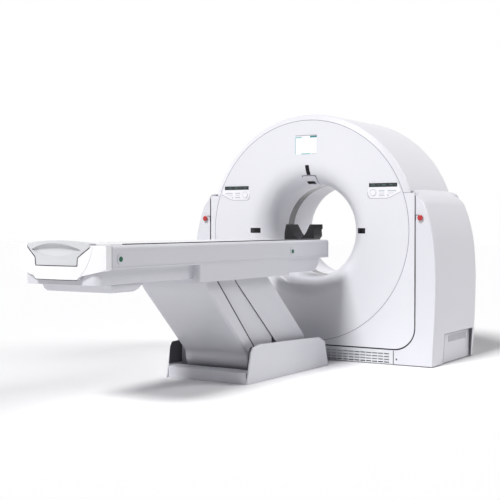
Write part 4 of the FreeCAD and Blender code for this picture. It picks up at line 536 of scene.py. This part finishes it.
def picture(name, ground, fields, glow):
    """A lit picture: a ground colour with upright fields (left, right, low, high, colour) on it."""
    made = finish(name, ground, ground, 0.15, depth=0.001, coat=0.3)
    nodes, links = made.node_tree.nodes, made.node_tree.links
    shader = nodes["Principled BSDF"]
    place = nodes.new("ShaderNodeTexCoord")
    split = nodes.new("ShaderNodeSeparateXYZ")
    links.new(place.outputs["Object"], split.inputs["Vector"])
    colour = nodes.new("ShaderNodeRGB")
    colour.outputs[0].default_value = (*ground, 1)
    shown = colour.outputs[0]
    for left, right, low, high, tint in fields:
        inside = None
        for axis, limit, test in (("X", left, "GREATER_THAN"), ("X", right, "LESS_THAN"),
                                  ("Z", low, "GREATER_THAN"), ("Z", high, "LESS_THAN")):
            check = nodes.new("ShaderNodeMath")
            check.operation = test
            check.inputs[1].default_value = limit
            links.new(split.outputs[axis], check.inputs[0])
            if inside is None:
                inside = check.outputs[0]
            else:
                both = nodes.new("ShaderNodeMath")
                both.operation = "MULTIPLY"
                links.new(inside, both.inputs[0])
                links.new(check.outputs[0], both.inputs[1])
                inside = both.outputs[0]
        layer = nodes.new("ShaderNodeMix")
        layer.data_type = "RGBA"
        layer.inputs[7].default_value = (*tint, 1)
        links.new(inside, layer.inputs[0])
        links.new(shown, layer.inputs[6])
        shown = layer.outputs[2]
    links.new(shown, shader.inputs["Base Color"])
    links.new(shown, shader.inputs["Emission Color"])
    shader.inputs["Emission Strength"].default_value = glow
    return made


TEAL, PALE_TEAL, BAR_GREY = (0.02, 0.20, 0.22), (0.13, 0.38, 0.42), (0.40, 0.41, 0.43)
display = picture("display_picture", (0.80, 0.82, 0.83), [
    (-0.100, 0.086, 1.696, 1.703, BAR_GREY), (0.028, 0.086, 1.683, 1.696, TEAL),
    (-0.098, -0.044, 1.683, 1.690, PALE_TEAL), (-0.099, -0.0955, 1.560, 1.690, PALE_TEAL),
    (-0.050, 0.030, 1.5585, 1.5645, (0.09, 0.36, 0.40)), (0.040, 0.082, 1.5585, 1.5625, BAR_GREY)], 0.12)
settle(eased("display_screen", 0.0003), "display", display, "stand", "display_screen", slot="display")


# ---------------------------------------------------------------- gantry: control panels
# Two membrane panels are let into the face: a dark readout bar over small keys, with a round key
# next to the bore that starts the scan. The panels are white, and a thin dark rim along their sides
# and foot is painted shadow under them.

panel_white = finish("panel_white", (0.82, 0.82, 0.86), (0.84, 0.84, 0.87), 0.4)
shadow_rim_and_gasket_grey = finish("shadow_rim_and_gasket_grey", (0.24, 0.24, 0.28), (0.27, 0.27, 0.31), 0.4)
key_print = finish("key_print", (0.50, 0.51, 0.56), (0.55, 0.56, 0.60), 0.45)
MARK = (0.045, 0.085, 0.09)
READOUT_MARKS = ((0.556, 0.014, 1.309, 1.316), (0.600, 0.010, 1.311, 1.315), (0.640, 0.016, 1.308, 1.316),
                 (0.700, 0.012, 1.309, 1.317), (0.735, 0.004, 1.310, 1.315))
dress(picture("readout_picture", (0.006, 0.011, 0.012), [
    (side * middle - half, side * middle + half, low, high, MARK) for side in (-1, 1)
    for middle, half, low, high in READOUT_MARKS], 0.1), "panel_readouts")
KEYS = ((0.602, 0.648, 1.269, 0.009), (0.672, 0.741, 1.269, 0.009), (0.602, 0.648, 1.236, 0.009),
        (0.666, 0.683, 1.236, 0.009), (0.602, 0.648, 1.252, 0.004), (0.672, 0.720, 1.252, 0.004))
for side, name in ((1, "right"), (-1, "left")):
    settle(eased(f"{name}_control_panel", 0.0003), f"{name}_panel", panel_white, "stand",
           f"{name}_control_panel", slot="light_grey")
    form = bmesh.new()
    for near, far, height, tall in KEYS:
        left, right = sorted((side * near, side * far))
        bar(form, (left, FACE_FRONT - 0.00085, height - tall / 2),
            (right, FACE_FRONT - 0.00035, height + tall / 2))
    through = [edge for edge in form.edges if abs((edge.verts[0].co - edge.verts[1].co).y) > 0.0002]
    round_edges(form, through, 0.0018, 3)
    settle(form, f"{name}_panel_keys", key_print, "stand", slot="key_grey")
    # A thin dark rim along each panel's sides and foot: painted shadow under the panel.
    form = bmesh.new()
    wire(form, [(side * across, FACE_FRONT - 0.0008, height) for across, height in (
        (0.513, 1.262), (0.513, 1.2145), (0.6765, 1.2145), (0.7770, 1.2605))], [(1, 0.026, 5), (2, 0.020, 3)])
    draw_out(form, form.edges[:], (0, 0.0012, 0))
    thicken(settle(form, f"{name}_panel_shadow_rim", shadow_rim_and_gasket_grey, "stand", slot="key_grey", sharp=50), 0.0026)

KEY_ACROSS, KEY_HEIGHT = 0.556, 1.257
KEY_RING_IN, KEY_RING_OUT = 0.0225, 0.0245
KEY_RING_FRONT, KEY_RING_BACK = FACE_FRONT - 0.0042, FACE_FRONT - 0.0034
for side, name in ((1, "right"), (-1, "left")):
    settle(eased(f"{name}_scan_key", 0.0007), f"{name}_round_key", panel_white, f"{name}_scan_key",
           f"{name}_scan_key", slot="key_grey")
    form, ends = line([(KEY_RING_FRONT, KEY_RING_IN), (KEY_RING_FRONT, KEY_RING_OUT),
                       (KEY_RING_BACK, KEY_RING_OUT), (KEY_RING_BACK, KEY_RING_IN)], closed=True)
    spin_round(form, 48)
    bmesh.ops.translate(form, verts=form.verts, vec=(side * KEY_ACROSS, 0, KEY_HEIGHT - ISOCENTRE))
    settle(form, f"{name}_key_ring", key_print, f"{name}_scan_key", slot="key_grey", sharp=50)


# ---------------------------------------------------------------- gantry: laser windows and camera
# Three smoked windows over the positioning lasers follow the funnel's curve. Above the bore a small
# white camera housing looks down at the patient through a black window in a grey gasket.

window_black = finish("window_black", (0.008, 0.008, 0.010), (0.012, 0.012, 0.015), 0.2, depth=0.002,
                      gloss=0.2)
LEFT_PANE, TOP_PANE, RIGHT_PANE = (-0.506, -0.431), (-0.050, 0.050), (0.411, 0.491)


def in_pane(face):
    """True for a face of one of the panes."""
    spot = face.calc_center_median().x
    return any(left < spot < right for left, right in (LEFT_PANE, TOP_PANE, RIGHT_PANE))


form = eased("laser_windows", 0.0008)
for spot in LEFT_PANE + RIGHT_PANE:
    slice_at(form, (spot, 0, 0), (1, 0, 0))
bmesh.ops.delete(form, geom=[face for face in form.faces if not in_pane(face)], context="FACES")
bmesh.ops.holes_fill(form, edges=[edge for edge in form.edges if len(edge.link_faces) == 1], sides=0)
settle(form, "laser_panes", window_black, "stand", "laser_windows", slot="dark_window")
settle(eased("bore_camera", 0.0012), "camera_housing", cover_white, "stand", "bore_camera",
       slot="dark_window")
for name, radius, low, high, half, material in (("camera_gasket", 0.1808, 23.6, 54.8, 8.5, shadow_rim_and_gasket_grey),
                                                ("camera_window", 0.1902, 25.8, 37.0, 5.3, window_black)):
    turns = [math.radians(low + (high - low) * step / 8) for step in range(9)]
    form, ends = line([(FACE_FRONT + FLARE_FRONT - radius * math.sin(turn),
                        BORE + FLARE_FRONT - radius * math.cos(turn)) for turn in turns])
    bmesh.ops.rotate(form, verts=form.verts, cent=(0, 0, ISOCENTRE),
                     matrix=Matrix.Rotation(math.radians(half), 3, "Y"))
    bmesh.ops.spin(form, geom=form.verts[:] + form.edges[:], cent=(0, 0, ISOCENTRE), axis=(0, 1, 0),
                   angle=math.radians(-2 * half), steps=12, use_merge=False, use_duplicate=False)
    thicken(settle(form, name, material, "stand", slot="dark_window"), 0.0012)


# ---------------------------------------------------------------- gantry: emergency stops
# A red mushroom button sits on a pale collar on each side cover and is pushed in to stop the scan.
# Dark tabs hold the collar at the seam.

stop_red = finish("stop_red", (0.42, 0.012, 0.012), (0.47, 0.018, 0.018), 0.2, coat=0.4)
collar_grey = finish("collar_grey", (0.66, 0.67, 0.70), (0.70, 0.71, 0.74), 0.4)
tab_grey = finish("tab_grey", (0.05, 0.05, 0.06), (0.07, 0.07, 0.08), 0.5, gloss=0.3)
STOP_ACROSS, STOP_HEIGHT = 0.931, 1.071
STOP_FRONT, STOP_LIP, STOP_BACK = -0.391, -0.380, -0.3756
STOP_RADIUS, STEM_RADIUS = 0.021, 0.011
settle(eased("estop_collars", 0.001), "stop_collars", collar_grey, "stand", "estop_collars",
       slot="light_grey")
for side, name in ((1, "right"), (-1, "left")):
    form = bmesh.new()
    wire(form, [(0, STOP_FRONT, 0), (0, STOP_FRONT, STOP_RADIUS), (0, STOP_LIP, STOP_RADIUS),
                (0, STOP_LIP, STEM_RADIUS), (0, STOP_BACK, STEM_RADIUS), (0, STOP_BACK, 0)],
         [(1, 0.0075, 6), (2, 0.0015, 2)])
    bmesh.ops.spin(form, geom=form.verts[:] + form.edges[:], cent=(0, 0, 0), axis=(0, 1, 0), angle=math.tau,
                   steps=48, use_merge=True, use_duplicate=False)
    bmesh.ops.remove_doubles(form, verts=form.verts, dist=0.00002)
    bmesh.ops.translate(form, verts=form.verts, vec=(side * STOP_ACROSS, 0, STOP_HEIGHT))
    settle(form, f"{name}_stop_button", stop_red, f"{name}_estop", f"{name}_estop", slot="red")
form = bmesh.new()
for side in (-1, 1):
    for across, half, front, back, low in ((0.9185, 0.0265, -0.3712, -0.3690, 0.0175),
                                           (0.8900, 0.0035, -0.3709, -0.3640, -0.017)):
        bar(form, (side * across - half, front, STOP_HEIGHT + low),
            (side * across + half, back, STOP_HEIGHT + 0.0215))
settle(form, "stop_tabs", tab_grey, "stand", slot="dark_window")


# ---------------------------------------------------------------- table: base
# A steel plate with brackets stands on the floor between two painted cheeks, with dark sheets on their
# inner faces as painted shade, a stepped cover across its foot and a low bridge over the cables to the gantry.

dress(frame_paint, "table_base")
settle(eased("base_cheeks", 0.004, 3), "cheeks", side_white, "stand", "base_cheeks", slot="side_white")
# Dark sheets on the cheeks' inner faces: painted shade inside the base.
cheek_shade_grey = finish("cheek_shade_grey", (0.085, 0.083, 0.095), (0.10, 0.098, 0.11), 0.7, gloss=0.2)
CHEEK_INSIDE = 0.3102
form = bmesh.new()
for side in (-1, 1):
    first, last = wire(form, [(side * CHEEK_INSIDE, along, height) for along, height in (
        (-1.560, 0.090), (-1.712, 0.090), (-1.700, 0.200), (-1.676, 0.237), (-1.560, 0.237))],
                       [(2, 0.012, 3), (3, 0.012, 3)])
    form.edges.new((first, last))
    bmesh.ops.contextual_create(form, geom=[edge for edge in form.edges if not edge.link_faces])
thicken(settle(form, "cheek_painted_shade", cheek_shade_grey, "stand", slot="dark_window"), 0.0005)
settle(eased("base_front_cover", 0.003, 3), "base_step", side_white, "stand", "base_front_cover",
       slot="light_grey")
settle(eased("cable_bridge", 0.0015), "bridge", side_white, "stand", "cable_bridge", slot="light_grey")


# ---------------------------------------------------------------- table: lift
# Two pairs of steel arms make a slanted parallelogram that a hydraulic ram raises. Painted covers
# hang on each pair, one inside the other, with plates between them, and dark strips along their
# edges are painted shade in the gaps.
# The foot side's cover is open towards the head side and below, where it clears the base.

dress(frame_paint, "foot_link", "head_link", "lift_cylinder")
table_white = finish("table_white", (0.62, 0.62, 0.665), (0.64, 0.64, 0.685), 0.33, coat=0.15)
for name, body in (("head_link_cover", "head_arms"), ("centre_covers", "centre_shroud")):
    settle(eased(name, 0.0015), f"{name}_skin", table_white, body, name, slot="side_white", sharp=25)

COVER_HALF, COVER_SKIN, COVER_HEEL = 0.255, 0.005, -1.580
form = bmesh.new()
first, last = wire(form, [(-COVER_HALF, along, height) for along, height in (
    (-1.993, 0.692), (-2.084, 0.757), (-2.112, 0.690), (-2.081, 0.628), (-1.609, 0.172), (-1.610, 0.125),
    (-1.583, 0.074), (-1.520, 0.100), (-1.494, 0.168))],
                   [(2, 0.030, 6), (3, 0.030, 4), (4, 0.020, 4), (5, 0.020, 4)])
form.edges.new((first, last))
flank = bmesh.ops.contextual_create(form, geom=form.edges[:])["faces"]
grown = bmesh.ops.extrude_face_region(form, geom=flank)["geom"]
bmesh.ops.translate(form, verts=[item for item in grown if isinstance(item, bmesh.types.BMVert)],
                    vec=(2 * COVER_HALF, 0, 0))
bmesh.ops.recalc_face_normals(form, faces=form.faces)
bmesh.ops.delete(form, context="FACES", geom=[
    face for face in form.faces if abs(face.normal.x) < 0.5
    and (face.normal.z > 0.5 or face.calc_center_median().y > COVER_HEEL)])
outer = [edge for edge in form.edges if len(edge.link_faces) == 2 and edge.calc_face_angle(0) > 1.2
         and abs(abs(edge.verts[0].co.x) - COVER_HALF) < 0.0001]
round_edges(form, outer, 0.020, 5)
skin = settle(form, "foot_link_skin", table_white, "foot_arms", "foot_link_cover", slot="side_white", sharp=40)
thicken(skin, COVER_SKIN, -1.0)

# Dark strips along the lift covers' edges: painted shade in the gaps between the covers.
for name, body, start, end, near, far, wide in (
        ("foot_cover_painted_shade", "foot_arms", (-1.990, 0.695), (-1.490, 0.171), 0.2494, 0.2540, 0.013),
        ("head_cover_painted_shade", "head_arms", (-1.7855, 0.6990), (-1.1875, 0.1790), 0.2438, 0.2484, 0.008)):
    form = bmesh.new()
    run, rise = end[0] - start[0], end[1] - start[1]
    slant = Matrix.Rotation(math.atan2(rise, run), 3, "X")
    for side in (-1, 1):
        made = bmesh.ops.create_cube(form, size=1)["verts"]
        bmesh.ops.scale(form, verts=made, vec=(far - near, math.hypot(run, rise), wide))
        bmesh.ops.rotate(form, verts=made, cent=(0, 0, 0), matrix=slant)
        bmesh.ops.translate(form, verts=made, vec=(
            side * (near + far) / 2, start[0] + run / 2, start[1] + rise / 2))
    settle(form, name, dark_rubber_and_painted_shade, body, slot="dark_window")


# ---------------------------------------------------------------- table: frame and body cover
# Slide rails and cross plates of painted steel are closed in from below by a stepped moulded body,
# with a shallow pan under the foot end.

def upright(edge):
    """True for a long upright edge."""
    here, there = edge.verts[0].co, edge.verts[1].co
    return abs(here.z - there.z) > 0.05 and abs(here.x - there.x) < 0.0001 and abs(here.y - there.y) < 0.0001


dress(frame_paint, "table_frame")
form = eased("table_body_cover", 0.0015, sharp=180)
for width, near, far, foot, head in ((0.014, 0.311, 0.313, -2.30, -2.24), (0.012, 0.297, 0.299, -0.723, -0.50)):
    corners = [edge for edge in form.edges if upright(edge) and near < abs(edge.verts[0].co.x) < far
               and foot < edge.verts[0].co.y < head]
    round_edges(form, corners, width, 4)
round_edges(form, [edge for edge in form.edges if edge.calc_face_angle(0) > 0.7], 0.0015, 2, clamp=True)
settle(form, "body_cover", table_white, "table", "table_body_cover", slot="table_white")
settle(eased("foot_pan", 0.006, 3, 25), "pan", table_white, "table", "foot_pan", slot="table_white")


# ---------------------------------------------------------------- table: shell
# A long shell of painted sheet runs down each side of the couch, with a shallow panel pressed into
# its side, a joint near the foot end and round green release buttons.

settle(eased("table_shell", 0.0015), "shell", table_white, "table", "table_shell", slot="table_white",
       sharp=30)
SHELL_SIDE, TRIM_HALF = 0.3118, 0.0006
form = bmesh.new()
for side in (-1, 1):
    bar(form, (side * SHELL_SIDE - TRIM_HALF, -3.0482, 0.786),
        (side * SHELL_SIDE + TRIM_HALF, -3.0458, 0.9100))
settle(form, "shell_joints", dark_rubber_and_painted_shade, "table", slot="dark_window")
release_green = finish("release_green", (0.008, 0.11, 0.06), (0.012, 0.14, 0.08), 0.3, gloss=0.3)
for side in ("right", "left"):
    for end in ("foot", "head"):
        name = f"{side}_{end}_button"
        settle(eased(name, 0.0012), f"{name}_cap", release_green, name, name, slot="green")


# ---------------------------------------------------------------- table: foot end
# A bowed moulding closes the foot end. A cap is let into it, and the light grey grip that pulls the
# couch comes through the cap. Dark strips follow the bow round both: painted shade in the gaps.

# A lighter copy of the table's white for the foot end and its cap: painted light where the end faces the key
# lamp.
lit_end_white = finish("lit_end_white", (0.82, 0.82, 0.84), (0.85, 0.85, 0.87), 0.32, coat=0.15)
settle(eased("foot_end_cover", 0.0025, 3), "end_cover", lit_end_white, "table", "foot_end_cover",
       slot="table_white")
settle(eased("foot_end_cap", 0.001), "end_cap", lit_end_white, "table", "foot_end_cap", slot="light_grey")
FOOT_END, BOW = -3.1506, 0.882
# Dark strips that follow the bow round the grip and the cap: painted shade in the gaps.
for name, points, corners, wide in (
        ("grip_gap", [(-0.222, 0, 0.901), (-0.152, 0, 0.848), (-0.148, 0, 0.803), (0.148, 0, 0.803),
                      (0.152, 0, 0.848), (0.222, 0, 0.901)],
         [(1, 0.008, 3), (2, 0.006, 3), (3, 0.006, 3), (4, 0.008, 3)], 0.0055),
        ("cap_gap", [(-0.162, 0, 0.744), (-0.149, 0, 0.7285), (0.149, 0, 0.7285), (0.163, 0, 0.746)],
         [], 0.0040)):
    form = bmesh.new()
    wire(form, points, corners)
    bmesh.ops.subdivide_edges(form, edges=form.edges[:], cuts=5)
    for vert in form.verts:
        vert.co.y = FOOT_END + BOW - math.sqrt(BOW ** 2 - vert.co.x ** 2)
    draw_out(form, form.edges[:], (0, 0.0010, 0))
    thicken(settle(form, name, dark_rubber_and_painted_shade, "table", slot="dark_window", sharp=50), wide)
grip_grey = finish("grip_grey", (0.58, 0.59, 0.61), (0.62, 0.63, 0.65), 0.45, grain=1500, depth=0.06)
settle(eased("foot_grip", 0.0015), "grip", grip_grey, "couch", "foot_grip", slot="grip_grey")


# ---------------------------------------------------------------- couch: cradle and head holder
# The couch is a shallow laminated board with low raised edges. A dark carbon trough for the
# patient's head is fixed to its head end.

dress(finish("cradle_laminate", (0.80, 0.80, 0.83), (0.83, 0.83, 0.85), 0.3, coat=0.2), "cradle")
CRADLE_SIDE = 0.2216
form = bmesh.new()
for side in (-1, 1):
    bar(form, (side * CRADLE_SIDE - TRIM_HALF, -2.850, 0.9125),
        (side * CRADLE_SIDE + TRIM_HALF, -0.610, 0.9185))
settle(form, "cradle_trims", dark_rubber_and_painted_shade, "couch", slot="dark_window")

carbon = finish("carbon", (0.010, 0.010, 0.012), (0.016, 0.016, 0.019), 0.42, gloss=0.25)
TROUGH_FOOT, TROUGH_LENGTH = -0.490, 0.158
TROUGH_HALF, TROUGH_LOW, TROUGH_TOP = 0.127, 0.905, 1.024
form = bmesh.new()
first, last = wire(form, [(across, TROUGH_FOOT, height) for across, height in (
    (-TROUGH_HALF, TROUGH_LOW), (-TROUGH_HALF, 0.965), (-0.112, TROUGH_TOP), (-0.092, TROUGH_TOP),
    (-0.052, 0.945), (0, 0.9095), (0.052, 0.945), (0.092, TROUGH_TOP), (0.112, TROUGH_TOP),
    (TROUGH_HALF, 0.965), (TROUGH_HALF, TROUGH_LOW))],
                   [(1, 0.030, 4), (4, 0.030, 4), (5, 0.020, 4), (6, 0.030, 4), (9, 0.030, 4)])
form.edges.new((first, last))
end_face = bmesh.ops.contextual_create(form, geom=form.edges[:])["faces"]
grown = bmesh.ops.extrude_face_region(form, geom=end_face)["geom"]
rear = [item for item in grown if isinstance(item, bmesh.types.BMVert)]
bmesh.ops.translate(form, verts=rear, vec=(0, TROUGH_LENGTH, 0))
for share, chosen in (
        (0.70, [vert for vert in rear if vert.co.z < TROUGH_LOW + 0.010]),
        (0.90, [vert for vert in rear if 0.93 < vert.co.z < 0.990 and abs(vert.co.x) > 0.11]),
        (1.05, [vert for vert in rear if vert.co.z > TROUGH_TOP - 0.004])):
    bmesh.ops.scale(form, verts=chosen, vec=(share, 1, 1))
bmesh.ops.recalc_face_normals(form, faces=form.faces)
round_edges(form, [edge for edge in form.edges if edge.calc_face_angle(0) > 0.9], 0.002, 2, clamp=True)
settle(form, "head_trough", carbon, "couch", "head_holder", slot="carbon")
